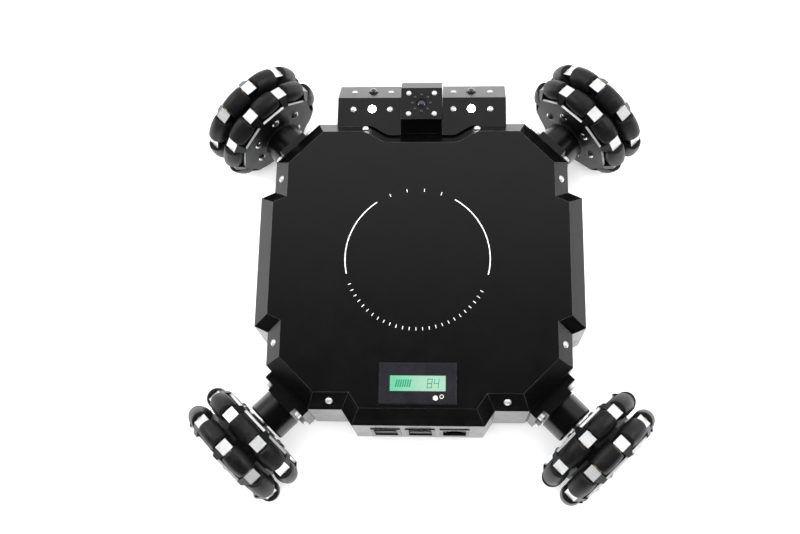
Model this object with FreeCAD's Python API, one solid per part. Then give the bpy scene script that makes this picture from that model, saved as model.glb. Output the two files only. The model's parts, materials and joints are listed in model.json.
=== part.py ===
import FreeCAD, Part
import math
import os
from FreeCAD import Placement, Rotation, Vector

# Omni-wheel robot chassis: a low body with a chamfered cover, four corner drives whose
# axles point outwards along the diagonals, two light bars and a tilting camera head.
# Millimetres. +X right, +Y front, +Z up. The origin is on the ground, midway between
# the four wheels.

# ---- body ----
TOP_HALF = 108.0            # half width of the cover's flat top
CORNER_CUT = 27.5           # leg of each 45 degree corner
SIDE_STEP = 11.0            # how far the middle of each side stands out
SIDE_HALF = 46.5            # half length of that middle stretch
SIDE_RUN = 5.0              # length of its sloping ends
REAR_STEP = 12.0
REAR_HALF = 45.0
REAR_RUN = 8.0
NOTCH_MOUTH_HALF = 45.6     # front notch, which the camera head looks out of
NOTCH_FLOOR_HALF = 30.6
NOTCH_DEPTH = 9.6
NOTCH_ROUND = 16.0          # radius of the notch's four corners
NOTCH_ROUND_STEPS = 3
BAND_WIDTH = 11.6           # sloping band around the cover, in plan
BAND_DROP = 12.0            # and in height
TOP_Z = 103.0
SPLIT_Z = TOP_Z - BAND_DROP
FLOOR_Z = 30.0
PLATE = 3.0                 # thickness of the base plate and of the pan's walls
PAN_Z = FLOOR_Z + PLATE
LIP_WIDTH = 10.0            # flange at the foot of the pan, which the base plate is screwed to
BRACKET_DEPTH = 13.0        # brackets inside the pan that take the cover screws
BRACKET_HALF = 6.0
BRACKET_Z = SPLIT_Z - 15.0

# ---- screws ----
THREAD = 1.5                # M3 shank radius
THREAD_HOLE = 1.6
HEAD = 2.9                  # dome head radius
HEAD_HEIGHT = 1.8
SIDE_SCREW_Y = 68.5         # along the sides
REAR_SCREW_X = 68.5
FRONT_SCREW_X = 46.0
BASE_SCREW_SPREAD = 35.0
BASE_SCREW_FRONT_X = 80.0

# ---- corner drives (u runs outwards from the centre along a diagonal) ----
WHEEL_RADIUS = 50.0
WHEEL_U = 200.5             # plane midway between the two rows of rollers
AXLE_Z = WHEEL_RADIUS
CORNERS = {"front_right": 45.0, "front_left": 135.0, "rear_left": 225.0, "rear_right": 315.0}
WHEEL_TURN = {"front_right": 34.5, "front_left": 4.5, "rear_left": 38.0, "rear_right": 31.0}
WALL_U = (2 * TOP_HALF - CORNER_CUT) / math.sqrt(2) + BAND_WIDTH
FLANGE_HALF = 22.0
FLANGE_THICK = 6.5
BLOCK_HALF = 12.8
BLOCK_THICK = 5.5
MOUNT_LOW_Z = 30.0
MOUNT_HIGH_Z = 75.0
HOUSING_RADIUS = 17.5
HOUSING_LENGTH = 19.0
MOUNT_BOLT_V = 16.8
MOUNT_BOLT_Z = (36.0, 69.5)
MOUNT_BOLT_HEAD = 2.9
MOUNT_BOLT_HEIGHT = 3.6
MOUNT_BOLT_REACH = 9.5
SHAFT = 4.0
SHAFT_FIT = 0.05
GEARBOX_RADIUS = 16.0
GEARBOX_LENGTH = 26.0
PILOT_RADIUS = 10.0
MOTOR_RADIUS = 15.0
MOTOR_LENGTH = 46.0
BEARING_RADIUS = 11.0
BEARING_WIDTH = 7.0

# ---- wheels ----
ROLLERS_PER_ROW = 9
ROW_OFFSET = 10.0           # each row's mid-plane from the wheel's
ROLLER_RADIUS = 8.75
ROLLER_HALF = 10.25
ROLLER_CENTRE = WHEEL_RADIUS - ROLLER_RADIUS
PIN = 1.5
PIN_FIT = 0.06
PIN_HALF = 13.4
WASHER = 4.2
WASHER_THICK = 0.6
SPOKE_GAP = 1.05            # from a roller's end to the spoke's flank
PAD_RADIUS = 46.2           # flat outer end of a spoke
PAD_HALF = 5.0
HUB_APOTHEM = 32.0
SIDE_PLATE_RADIUS = 40.0
SIDE_PLATE_THICK = 2.0
SIDE_PLATE_INNER = 9.2
WHEEL_BOLT_CIRCLE = 24.0
WHEEL_BOLTS = 6
WHEEL_BOLT = 2.0
WHEEL_BOLT_HEAD = 3.6
WHEEL_BOLT_HEIGHT = 2.2
HUB_BOSS_RADIUS = 13.0      # boss on the side that faces the body
HUB_BOSS_THICK = 1.5
NUT_POCKET_RADIUS = 8.0     # pocket for the shaft's nut, in the outer face
NUT_POCKET_DEPTH = 5.4
NUT_RADIUS = 5.6
NUT_HEIGHT = 4.0
NUT_WASHER = 7.5
NUT_WASHER_THICK = 1.2

# ---- light bars and camera head ----
BAR_INNER_X = 17.3
BAR_OUTER_X = 70.0
BAR_TOP_Z = 95.0
BAR_TOP_FRONT_Y = 142.0
BAR_SLOPE = 20.0            # height and depth of the 45 degree face
BAR_CHIN = 11.4
BAR_LOW_Z = 48.6
BAR_WALL = 3.0
BAR_SCREW_HEAD = 2.4
BAR_SCREW_HEIGHT = 1.2
NOTCH_GAP = 2.0
LAMP_X = 41.2
BAR_SCREW_X = (26.3, 57.0)
BAR_TOP_ROW_Y = 131.6
LAMP_RADIUS = 3.6
LAMP_STEM = 2.5
LAMP_RIM = 0.6
WIRE_PORT_X = 55.0
WIRE_PORT_Z = 70.0
WIRE_PORT_RADIUS = 4.0
TILT_Y = 134.0
TILT_Z = 77.8
HEAD_HALF_X = 16.9
HEAD_FACE_HALF = 14.0
HEAD_REACH = 23.2           # from the tilt axis to the face, and to the front and back edges
HEAD_DRUM = 21.8            # radius of the round lower half
HEAD_CHIN = (6.0, 12.0)     # drop of the front underside, at its edge and below the axis
TILT_PIN = 3.0
TILT_PIN_REACH = 20.0
LENS_RADIUS = 3.8
LENS_POCKET = 4.6
LENS_DEPTH = 9.0
LAMP_RING_RADIUS = 7.4
LAMP_RING_COUNT = 8
RING_LAMP = 1.3
RING_LAMP_DEPTH = 3.0
CAMERA_SCREW_X = 10.6
CAMERA_SCREW_Y = 9.2
CAMERA_SCREW = 1.0
CAMERA_SCREW_HEAD = 2.2
CAMERA_SCREW_HEIGHT = 1.1
CAMERA_SCREW_LENGTH = 5.0
SERVO_X = (-43.0, -20.8)
SERVO_HALF_Y = 6.1
SERVO_Z = (58.0, 84.0)
SERVO_EAR_X = (-29.0, -26.6)
SERVO_EAR_REACH = 4.5       # how far the fixing ears stand out above and below

# ---- battery meter in the cover ----
METER_Y = -101.0
METER_HALF_X = 30.0
METER_HALF_Y = 16.2
METER_PROUD = 1.8
METER_BODY_X = 28.2
METER_BODY_Y = 14.4
METER_DEPTH = 14.0
METER_FIT = 0.2             # gap between the meter's body and its window in the cover
METER_BEVEL = 0.7
LCD_HALF_X = 21.3
LCD_HALF_Y = 6.0
LCD_DEPTH = 1.2
LCD_SINK = 0.3
METER_BUTTON_X = 13.6
METER_BUTTON_DY = -11.4
METER_BUTTON_RADIUS = 1.9
METER_BUTTON_TRAVEL = 0.5
METER_BUTTON_WELL = 1.5     # depth of its well below the cover's top
METER_BUTTON_PROUD = 0.7

# ---- rear panel: two rocker switches and a data socket ----
PANEL_PITCH = 27.2
PANEL_X = 1.0
PANEL_Z = 59.0
PANEL_Y = -(TOP_HALF + REAR_STEP + BAND_WIDTH)
BEZEL_HALF_X = 11.8
BEZEL_HALF_Z = 16.0
BEZEL_THICK = 0.8
BEZEL_BEVEL = 0.4
INSERT_HALF_X = 11.0
INSERT_HALF_Z = 14.6
INSERT_DEPTH = 18.0
INSERT_FIT = 0.1
ROCKER_HALF_X = 8.7
ROCKER_RADIUS = 13.2
ROCKER_CLEAR = 0.4
ROCKER_BACK = 6.0           # back of the rocker behind its pivot
ROCKER_PIVOT_IN = 2.4       # pivot behind the bezel's face
ROCKER_PROUD = 1.2
ROCKER_FLARE = 4.5          # degrees that each half of the rocker is turned
ROCKER_PIN = 1.0
ROCKER_PIN_REACH = 1.6
SOCKET_FACE_IN = 2.0        # face of the data socket behind the bezel's face
SOCKET_HALF_X = 6.0
SOCKET_LOW_Z = 46.4
SOCKET_HEIGHT = 8.8
SOCKET_DEPTH = 13.0
SOCKET_LATCH_HALF = 2.6
SOCKET_LATCH_RISE = 2.2
SOCKET_LATCH_DEPTH = 5.0
CONTACTS = 8
CONTACT_PITCH = 1.15
CONTACT_WIDTH = 0.5

# ---- inside the body ----
BATTERY = (-117.0, -79.0, -42.0, 42.0, PAN_Z, 83.0)
BATTERY_ROUND = 4.0
CONTROL_HALF = 33.0
CONTROL_Z = 43.0
BOARD = 1.6
STANDOFF = 2.5
STANDOFF_INSET = 3.5
DRIVER_X = (80.0, 118.0)
DRIVER_Y = (2.0, 40.0)
DRIVER_Z = 40.0
SINK_FINS = 5
SINK_PITCH = 4.0
SINK_Y = (12.0, 28.0)       # heat sink, from the board's low edge
SINK_HEIGHT = 9.0
SINK_BASE = 1.5
PLUG_SIZE = (12.0, 7.0, 7.0)
PLUG_PITCH = 11.0


def box(x0, x1, y0, y1, z0, z1):
    return Part.makeBox(x1 - x0, y1 - y0, z1 - z0, Vector(x0, y0, z0))


def rod(radius, start, direction, length):
    return Part.makeCylinder(radius, length, Vector(*start), Vector(*direction))


def fused(shapes):
    first, rest = shapes[0], shapes[1:]
    if not rest:
        return first
    return first.multiFuse(rest).removeSplitter()


def group(shapes):
    return Part.makeCompound(shapes)


def moved(shape, offset=(0, 0, 0), axis=(0, 0, 1), angle=0.0):
    """A copy turned about an axis through the origin, then shifted."""
    copy = shape.copy()
    turn = Placement(Vector(*offset), Rotation(Vector(*axis), angle))
    copy.Placement = turn.multiply(copy.Placement)
    return copy


def at_corner(shape, corner):
    return moved(shape, angle=CORNERS[corner])


def hexagon(radius, point, normal, length):
    """Hexagonal prism whose foot is centred on a point."""
    corners = []
    for i in range(6):
        angle = math.radians(60 * i)
        corners.append(Vector(radius * math.cos(angle), radius * math.sin(angle), 0))
    prism = Part.Face(Part.makePolygon(corners + corners[:1])).extrude(Vector(0, 0, length))
    prism.Placement = Placement(point, Rotation(Vector(0, 0, 1), normal))
    return prism


def prism_z(points, z0, z1):
    corners = [Vector(x, y, z0) for x, y in points]
    face = Part.Face(Part.makePolygon(corners + corners[:1]))
    return face.extrude(Vector(0, 0, z1 - z0))


def prism_x(points, x0, x1):
    corners = [Vector(x0, y, z) for y, z in points]
    face = Part.Face(Part.makePolygon(corners + corners[:1]))
    return face.extrude(Vector(x1 - x0, 0, 0))


def offset_outline(points, distance):
    """The anticlockwise outline moved outwards by distance, with mitred corners."""
    count = len(points)
    result = []
    for i in range(count):
        before, here, after = points[i - 1], points[i], points[(i + 1) % count]
        into = Vector(here[0] - before[0], here[1] - before[1], 0).normalize()
        out = Vector(after[0] - here[0], after[1] - here[1], 0).normalize()
        mitre = Vector(into.y + out.y, -into.x - out.x, 0)
        scale = distance * 2 / mitre.dot(mitre)
        result.append((here[0] + mitre.x * scale, here[1] + mitre.y * scale))
    return result


def frustum(low_points, low_z, high_points, high_z):
    """A solid between two outlines whose edges are parallel, one to one."""
    low = [Vector(x, y, low_z) for x, y in low_points]
    high = [Vector(x, y, high_z) for x, y in high_points]
    faces = [Part.Face(Part.makePolygon(low + low[:1])), Part.Face(Part.makePolygon(high + high[:1]))]
    for i in range(len(low)):
        j = (i + 1) % len(low)
        faces.append(Part.Face(Part.makePolygon([low[i], low[j], high[j], high[i], low[i]])))
    return Part.makeSolid(Part.makeShell(faces))


def rounded_corner(before, corner, after, radius, steps):
    """Points of an arc that rounds a corner, from one edge to the next."""
    centre_point = Vector(corner[0], corner[1], 0)
    back = (Vector(before[0], before[1], 0) - centre_point).normalize()
    ahead = (Vector(after[0], after[1], 0) - centre_point).normalize()
    half = math.acos(back.dot(ahead)) / 2
    middle = (back + ahead).normalize()
    centre = centre_point + middle * (radius / math.sin(half))
    start = centre_point + back * (radius / math.tan(half)) - centre
    turn = math.pi - 2 * half
    sign = 1 if back.cross(ahead).z < 0 else -1
    points = []
    for i in range(steps + 1):
        angle = sign * turn * i / steps
        x = start.x * math.cos(angle) - start.y * math.sin(angle)
        y = start.x * math.sin(angle) + start.y * math.cos(angle)
        points.append((centre.x + x, centre.y + y))
    return points


def body_outline():
    """Edge of the cover's flat top, anticlockwise from the rear."""
    a, cut = TOP_HALF, TOP_HALF - CORNER_CUT
    right = [
        (REAR_HALF, -(a + REAR_STEP)),
        (REAR_HALF + REAR_RUN, -a),
        (cut, -a),
        (a, -cut),
        (a, -(SIDE_HALF + SIDE_RUN)),
        (a + SIDE_STEP, -SIDE_HALF),
        (a + SIDE_STEP, SIDE_HALF),
        (a, SIDE_HALF + SIDE_RUN),
        (a, cut),
        (cut, a),
    ]
    mouth = (NOTCH_MOUTH_HALF, a)
    floor = (NOTCH_FLOOR_HALF, a - NOTCH_DEPTH)
    right += rounded_corner(right[-1], mouth, floor, NOTCH_ROUND, NOTCH_ROUND_STEPS)
    right += rounded_corner(mouth, floor, (0, floor[1]), NOTCH_ROUND, NOTCH_ROUND_STEPS)
    left = [(-x, y) for x, y in reversed(right)]
    return right + left


OUTLINE = body_outline()


def body_envelope(grow=0.0):
    """The whole closed body as one block, grown sideways."""
    foot = offset_outline(OUTLINE, BAND_WIDTH + grow)
    top = offset_outline(OUTLINE, grow) if grow else OUTLINE
    return fused([prism_z(foot, FLOOR_Z, SPLIT_Z), frustum(foot, SPLIT_Z, top, TOP_Z)])


def cover_cavity():
    """The space inside the cover, whose sloping faces are parallel to the outside."""
    slope = math.hypot(BAND_WIDTH, BAND_DROP)
    wall = PLATE * slope / BAND_DROP
    rise = BAND_DROP - PLATE
    low = BAND_WIDTH - wall
    high = low - BAND_WIDTH * rise / BAND_DROP
    return frustum(offset_outline(OUTLINE, low), SPLIT_Z, offset_outline(OUTLINE, high), SPLIT_Z + rise)


def cover_screw_places():
    """(point on the band, outward direction in plan) for each cover screw."""
    middle = TOP_HALF + BAND_WIDTH / 2
    places = []
    for side in (-1, 1):
        for end in (-1, 1):
            places.append(((side * middle, end * SIDE_SCREW_Y), (side, 0)))
        places.append(((side * REAR_SCREW_X, -middle), (0, -1)))
        places.append(((side * FRONT_SCREW_X, middle - 1.0), (0, 1)))
    return places


def band_point(place):
    """Point on the band's surface and its outward normal."""
    (x, y), (dx, dy) = place
    out = abs(x * dx + y * dy) - TOP_HALF
    z = TOP_Z - BAND_DROP * out / BAND_WIDTH
    normal = Vector(dx * BAND_DROP, dy * BAND_DROP, BAND_WIDTH).normalize()
    return Vector(x, y, z), normal


def base_screw_places():
    side = TOP_HALF + SIDE_STEP + BAND_WIDTH - PLATE - LIP_WIDTH / 2
    rear = TOP_HALF + REAR_STEP + BAND_WIDTH - PLATE - LIP_WIDTH / 2
    front = TOP_HALF + BAND_WIDTH - PLATE - LIP_WIDTH / 2
    places = []
    for sign in (-1, 1):
        places.append((sign * side, -BASE_SCREW_SPREAD))
        places.append((sign * side, BASE_SCREW_SPREAD))
        places.append((sign * BASE_SCREW_SPREAD, -rear))
        places.append((sign * BASE_SCREW_FRONT_X, front))
    return places


def screw_bores(radius):
    cutters = []
    for place in cover_screw_places():
        point, normal = band_point(place)
        cutters.append(Part.makeCylinder(radius, 14.0, point - normal * 12.0, normal))
    for x, y in base_screw_places():
        cutters.append(rod(radius, (x, y, FLOOR_Z - 1), (0, 0, 1), 12.0))
    return cutters


def panel_centres():
    return [PANEL_X + step * PANEL_PITCH for step in (-1, 0, 1)]


def top_cover():
    foot = offset_outline(OUTLINE, BAND_WIDTH)
    shell = frustum(foot, SPLIT_Z, OUTLINE, TOP_Z).cut(cover_cavity())
    half_x, half_y = METER_BODY_X + METER_FIT, METER_BODY_Y + METER_FIT
    window = box(-half_x, half_x, METER_Y - half_y, METER_Y + half_y, TOP_Z - 10, TOP_Z + 1)
    return shell.cut([window] + screw_bores(THREAD_HOLE))


def cover_brackets():
    """Blocks that rise inside the pan against the back of the band, one under each screw."""
    inside = fused([prism_z(offset_outline(OUTLINE, BAND_WIDTH - PLATE), BRACKET_Z, SPLIT_Z), cover_cavity()])
    brackets = []
    middle = TOP_HALF + BAND_WIDTH / 2
    for (x, y), (dx, dy) in cover_screw_places():
        if dx:
            cx, cy, reach_x, reach_y = dx * middle, y, BRACKET_DEPTH, BRACKET_HALF
        else:
            cx, cy, reach_x, reach_y = x, dy * middle, BRACKET_HALF, BRACKET_DEPTH
        block = box(cx - reach_x, cx + reach_x, cy - reach_y, cy + reach_y, BRACKET_Z, TOP_Z)
        brackets.append(block.common(inside))
    return brackets


def wire_port(side):
    """Hole through the front wall, by which a light bar's wires reach the body."""
    return rod(WIRE_PORT_RADIUS, (side * WIRE_PORT_X, TOP_HALF, WIRE_PORT_Z), (0, 1, 0), 20.0)


def chassis_pan():
    outer = offset_outline(OUTLINE, BAND_WIDTH)
    inner = offset_outline(OUTLINE, BAND_WIDTH - PLATE)
    lip = offset_outline(OUTLINE, BAND_WIDTH - PLATE - LIP_WIDTH)
    wall = prism_z(outer, PAN_Z, SPLIT_Z).cut(prism_z(inner, PAN_Z + PLATE, SPLIT_Z))
    pan = fused([wall.cut(prism_z(lip, PAN_Z, PAN_Z + PLATE))] + cover_brackets())
    cutters = screw_bores(THREAD_HOLE)
    gearbox_room = rod(GEARBOX_RADIUS + 0.3, (WALL_U - PLATE - 60, 0, AXLE_Z), (1, 0, 0), 60)
    pilot_hole = rod(PILOT_RADIUS + 0.1, (WALL_U - PLATE - 1, 0, AXLE_Z), (1, 0, 0), PLATE + 2)
    for corner in CORNERS:
        cutters += [at_corner(gearbox_room, corner), at_corner(pilot_hole, corner)]
        cutters += [at_corner(hole, corner) for hole in mount_bolt_holes()]
    half_x, half_z = INSERT_HALF_X + INSERT_FIT, INSERT_HALF_Z + INSERT_FIT
    for x in panel_centres():
        cutters.append(box(x - half_x, x + half_x, PANEL_Y - 1, PANEL_Y + PLATE + 1,
                           PANEL_Z - half_z, PANEL_Z + half_z))
    for side in (-1, 1):
        cutters.append(wire_port(side))
    return pan.cut(cutters)


def base_plate():
    plate = prism_z(offset_outline(OUTLINE, BAND_WIDTH), FLOOR_Z, PAN_Z)
    cutters = []
    for x, y in base_screw_places():
        cutters.append(rod(THREAD_HOLE, (x, y, FLOOR_Z - 1), (0, 0, 1), PLATE + 2))
        cutters.append(Part.makeCone(3.3, THREAD_HOLE, 1.8, Vector(x, y, FLOOR_Z), Vector(0, 0, 1)))
    return plate.cut(cutters)


def dome_screw(point, normal, head, height, shank, length):
    """Button-head screw with a hexagonal socket, whose head sits on the surface at the point."""
    ball = (head * head + height * height) / (2 * height)
    sphere = Part.makeSphere(ball, point + normal * (height - ball))
    cap = sphere.common(Part.makeCylinder(head, height, point, normal))
    cap = cap.cut(hexagon(head * 0.45, point + normal * (height * 0.45), normal, height))
    shaft = Part.makeCylinder(shank, length, point - normal * length, normal)
    return cap.fuse(shaft)


def cap_screw(point, normal, head, height, shank, length):
    """Cylinder-head screw with a hexagonal socket, whose head sits on the surface at the point."""
    cap = Part.makeCylinder(head, height, point, normal)
    top = max(cap.Faces, key=lambda face: face.CenterOfMass.dot(normal))
    cap = cap.makeChamfer(0.3, top.Edges)
    cap = cap.cut(hexagon(head * 0.5, point + normal * (height * 0.45), normal, height))
    shaft = Part.makeCylinder(shank, length, point - normal * length, normal)
    return cap.fuse(shaft)


def countersunk_screw(x, y):
    sink = 0.25
    head = Part.makeCone(3.0, THREAD, 1.5, Vector(x, y, FLOOR_Z + sink), Vector(0, 0, 1))
    shank = rod(THREAD, (x, y, FLOOR_Z + sink), (0, 0, 1), 5.5)
    return head.fuse(shank)


def body_screws():
    screws = []
    for place in cover_screw_places():
        point, normal = band_point(place)
        screws.append(dome_screw(point, normal, HEAD, HEAD_HEIGHT, THREAD, 10.0))
    screws += [countersunk_screw(x, y) for x, y in base_screw_places()]
    return group(screws)


def mount_bolt_places():
    return [(v, z) for v in (-MOUNT_BOLT_V, MOUNT_BOLT_V) for z in MOUNT_BOLT_Z]


def mount_bolt_holes():
    start = WALL_U - PLATE - 2
    length = PLATE + FLANGE_THICK + 3
    return [rod(THREAD_HOLE, (start, v, z), (1, 0, 0), length) for v, z in mount_bolt_places()]


def motor_mount():
    face = WALL_U + FLANGE_THICK
    flange = box(WALL_U, face, -FLANGE_HALF, FLANGE_HALF, MOUNT_LOW_Z, MOUNT_HIGH_Z)
    block = box(WALL_U, face + BLOCK_THICK, -BLOCK_HALF, BLOCK_HALF, MOUNT_LOW_Z, MOUNT_HIGH_Z)
    body = fused([flange, block])
    bore = rod(PILOT_RADIUS + 0.1, (WALL_U - 1, 0, AXLE_Z), (1, 0, 0), 30)
    return body.cut([bore] + mount_bolt_holes())


def mount_bolts():
    bolts = []
    for v, z in mount_bolt_places():
        point = Vector(WALL_U + FLANGE_THICK, v, z)
        bolts.append(cap_screw(point, Vector(1, 0, 0), MOUNT_BOLT_HEAD, MOUNT_BOLT_HEIGHT, THREAD,
                               MOUNT_BOLT_REACH))
    return bolts


def bearing_housing():
    """Round housing with two bearings, which carry the wheel's shaft."""
    start = WALL_U + FLANGE_THICK + BLOCK_THICK
    body = rod(HOUSING_RADIUS, (start, 0, AXLE_Z), (1, 0, 0), HOUSING_LENGTH)
    end_face = max(body.Faces, key=lambda face: face.CenterOfMass.x)
    body = body.makeChamfer(1.2, end_face.Edges)
    pocket = rod(BEARING_RADIUS, (start, 0, AXLE_Z), (1, 0, 0), HOUSING_LENGTH - 2.5)
    bore = rod(SHAFT + 0.4, (start, 0, AXLE_Z), (1, 0, 0), HOUSING_LENGTH + 1)
    solids = [body.cut([pocket, bore])]
    for u in (start + 0.5, start + HOUSING_LENGTH - 2.5 - BEARING_WIDTH):
        ring = rod(BEARING_RADIUS, (u, 0, AXLE_Z), (1, 0, 0), BEARING_WIDTH)
        solids.append(ring.cut(rod(SHAFT + SHAFT_FIT, (u, 0, AXLE_Z), (1, 0, 0), BEARING_WIDTH)))
    return solids


def gearbox():
    front = WALL_U - PLATE
    body = rod(GEARBOX_RADIUS, (front - GEARBOX_LENGTH, 0, AXLE_Z), (1, 0, 0), GEARBOX_LENGTH)
    pilot = rod(PILOT_RADIUS, (front, 0, AXLE_Z), (1, 0, 0), PLATE + FLANGE_THICK)
    bore = rod(SHAFT + 0.3, (front - 14, 0, AXLE_Z), (1, 0, 0), 40)
    return fused([body, pilot]).cut(bore)


def motor():
    back = WALL_U - PLATE - GEARBOX_LENGTH
    can = rod(MOTOR_RADIUS, (back - MOTOR_LENGTH, 0, AXLE_Z), (1, 0, 0), MOTOR_LENGTH)
    encoder = rod(MOTOR_RADIUS - 3, (back - MOTOR_LENGTH - 9, 0, AXLE_Z), (1, 0, 0), 9)
    return fused([can, encoder])


def drive_shaft():
    """Shaft with the washer and nut that hold the wheel, sunk in its outer face."""
    start = WALL_U - PLATE - 12
    seat = WHEEL_U + ROW_OFFSET + SIDE_PLATE_INNER + SIDE_PLATE_THICK - NUT_POCKET_DEPTH
    shaft = rod(SHAFT, (start, 0, AXLE_Z), (1, 0, 0), seat + NUT_POCKET_DEPTH - start)
    washer = rod(NUT_WASHER, (seat, 0, AXLE_Z), (1, 0, 0), NUT_WASHER_THICK)
    nut = hexagon(NUT_RADIUS, Vector(seat + NUT_WASHER_THICK, 0, AXLE_Z), Vector(1, 0, 0), NUT_HEIGHT)
    return fused([shaft, washer, nut])


def ring_polygon(radius, sides):
    """Regular polygon about the wheel's axle with a corner at the top, as (y, z)."""
    points = []
    for i in range(sides):
        angle = 2 * math.pi * i / sides
        points.append((radius * math.sin(angle), radius * math.cos(angle)))
    return points


def spoke():
    """Wedge between two rollers, with a flat pad outside and a gusset to the side plate.

    The spoke points up, in a row whose mid-plane is x = 0 and whose outer face is at +x.
    """
    half_step = math.pi / ROLLERS_PER_ROW
    flank = (ROLLER_HALF + SPOKE_GAP) / math.cos(half_step)
    pad = PAD_RADIUS * math.tan(half_step) - flank
    root = flank / math.tan(half_step)
    outer = SIDE_PLATE_INNER + SIDE_PLATE_THICK
    wedge = prism_x([(0, root), (pad, PAD_RADIUS), (-pad, PAD_RADIUS)], -PAD_HALF, outer)
    low = HUB_APOTHEM - 4
    profile = [
        (-PAD_HALF, low),
        (outer, low),
        (outer, SIDE_PLATE_RADIUS),
        (PAD_HALF, PAD_RADIUS),
        (-PAD_HALF, PAD_RADIUS),
    ]
    corners = [Vector(x, -PAD_RADIUS, z) for x, z in profile]
    slab = Part.Face(Part.makePolygon(corners + corners[:1])).extrude(Vector(0, 2 * PAD_RADIUS, 0))
    return wedge.common(slab)


def row_angles():
    return [360.0 * i / ROLLERS_PER_ROW for i in range(ROLLERS_PER_ROW)]


def half_step():
    return 180.0 / ROLLERS_PER_ROW


def rim(faces_body, bolt_turn):
    """Aluminium half of the wheel, which carries one row. Row mid-plane x = 0, outside at +x.

    The half that faces the body has a boss, and the other one a pocket for the nut.
    """
    outer = SIDE_PLATE_INNER + SIDE_PLATE_THICK
    hub_corner = HUB_APOTHEM / math.cos(math.pi / ROLLERS_PER_ROW)
    hub = prism_x(ring_polygon(hub_corner, ROLLERS_PER_ROW), -ROW_OFFSET, outer)
    plate = prism_x(ring_polygon(SIDE_PLATE_RADIUS, ROLLERS_PER_ROW), SIDE_PLATE_INNER, outer)
    one_spoke = spoke()
    solids = [hub, plate] + [moved(one_spoke, axis=(1, 0, 0), angle=angle) for angle in row_angles()]
    cutters = [rod(SHAFT + 0.03, (-ROW_OFFSET - 1, 0, 0), (1, 0, 0), 40)]
    if faces_body:
        solids.append(rod(HUB_BOSS_RADIUS, (outer, 0, 0), (1, 0, 0), HUB_BOSS_THICK))
    else:
        cutters.append(rod(NUT_POCKET_RADIUS, (outer - NUT_POCKET_DEPTH, 0, 0), (1, 0, 0), 10))
    body = fused(solids)
    for i in range(WHEEL_BOLTS):
        angle = 2 * math.pi * i / WHEEL_BOLTS + math.radians(bolt_turn)
        y, z = WHEEL_BOLT_CIRCLE * math.sin(angle), WHEEL_BOLT_CIRCLE * math.cos(angle)
        cutters.append(rod(WHEEL_BOLT + 0.1, (-ROW_OFFSET - 1, y, z), (1, 0, 0), 40))
    pin_hole = rod(PIN + PIN_FIT, (0, -PIN_HALF, ROLLER_CENTRE), (0, 1, 0), 2 * PIN_HALF)
    for angle in row_angles():
        cutters.append(moved(pin_hole, axis=(1, 0, 0), angle=angle + half_step()))
    return body.cut(cutters)


def roller():
    """Rubber barrel whose curve is the wheel's own circle, with its axis along Y."""
    end = math.sqrt(WHEEL_RADIUS ** 2 - ROLLER_HALF ** 2) - ROLLER_CENTRE
    bore = PIN + PIN_FIT
    lead = 0.8
    arc = Part.Arc(Vector(end, -ROLLER_HALF + lead, 0), Vector(ROLLER_RADIUS, 0, 0),
                   Vector(end, ROLLER_HALF - lead, 0)).toShape()
    corners = [
        (end, ROLLER_HALF - lead),
        (end - lead, ROLLER_HALF),
        (bore, ROLLER_HALF),
        (bore, -ROLLER_HALF),
        (end - lead, -ROLLER_HALF),
        (end, -ROLLER_HALF + lead),
    ]
    points = [Vector(x, y, 0) for x, y in corners]
    edges = [arc] + Part.makePolygon(points).Edges
    return Part.Face(Part.Wire(edges)).revolve(Vector(0, 0, 0), Vector(0, 1, 0), 360)


def roller_pin():
    """Steel pin with a washer at each end of the roller."""
    pin = rod(PIN, (0, -PIN_HALF, 0), (0, 1, 0), 2 * PIN_HALF)
    solids = [pin]
    for side in (-1, 1):
        start = side * (ROLLER_HALF + 0.2)
        washer = rod(WASHER, (0, start, 0), (0, side, 0), WASHER_THICK)
        solids.append(washer.cut(rod(PIN, (0, start, 0), (0, side, 0), WASHER_THICK)))
    return fused(solids)


def wheel_bolts():
    reach = ROW_OFFSET + SIDE_PLATE_INNER + SIDE_PLATE_THICK
    bolts = []
    for i in range(WHEEL_BOLTS):
        angle = 2 * math.pi * i / WHEEL_BOLTS
        y, z = WHEEL_BOLT_CIRCLE * math.sin(angle), WHEEL_BOLT_CIRCLE * math.cos(angle)
        shank = rod(WHEEL_BOLT, (-reach, y, z), (1, 0, 0), 2 * reach)
        heads = []
        for side in (-1, 1):
            point, normal = Vector(side * reach, y, z), Vector(side, 0, 0)
            heads.append(dome_screw(point, normal, WHEEL_BOLT_HEAD, WHEEL_BOLT_HEIGHT, WHEEL_BOLT, 1.0))
        bolts.append(fused([shank] + heads))
    return bolts


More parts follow.
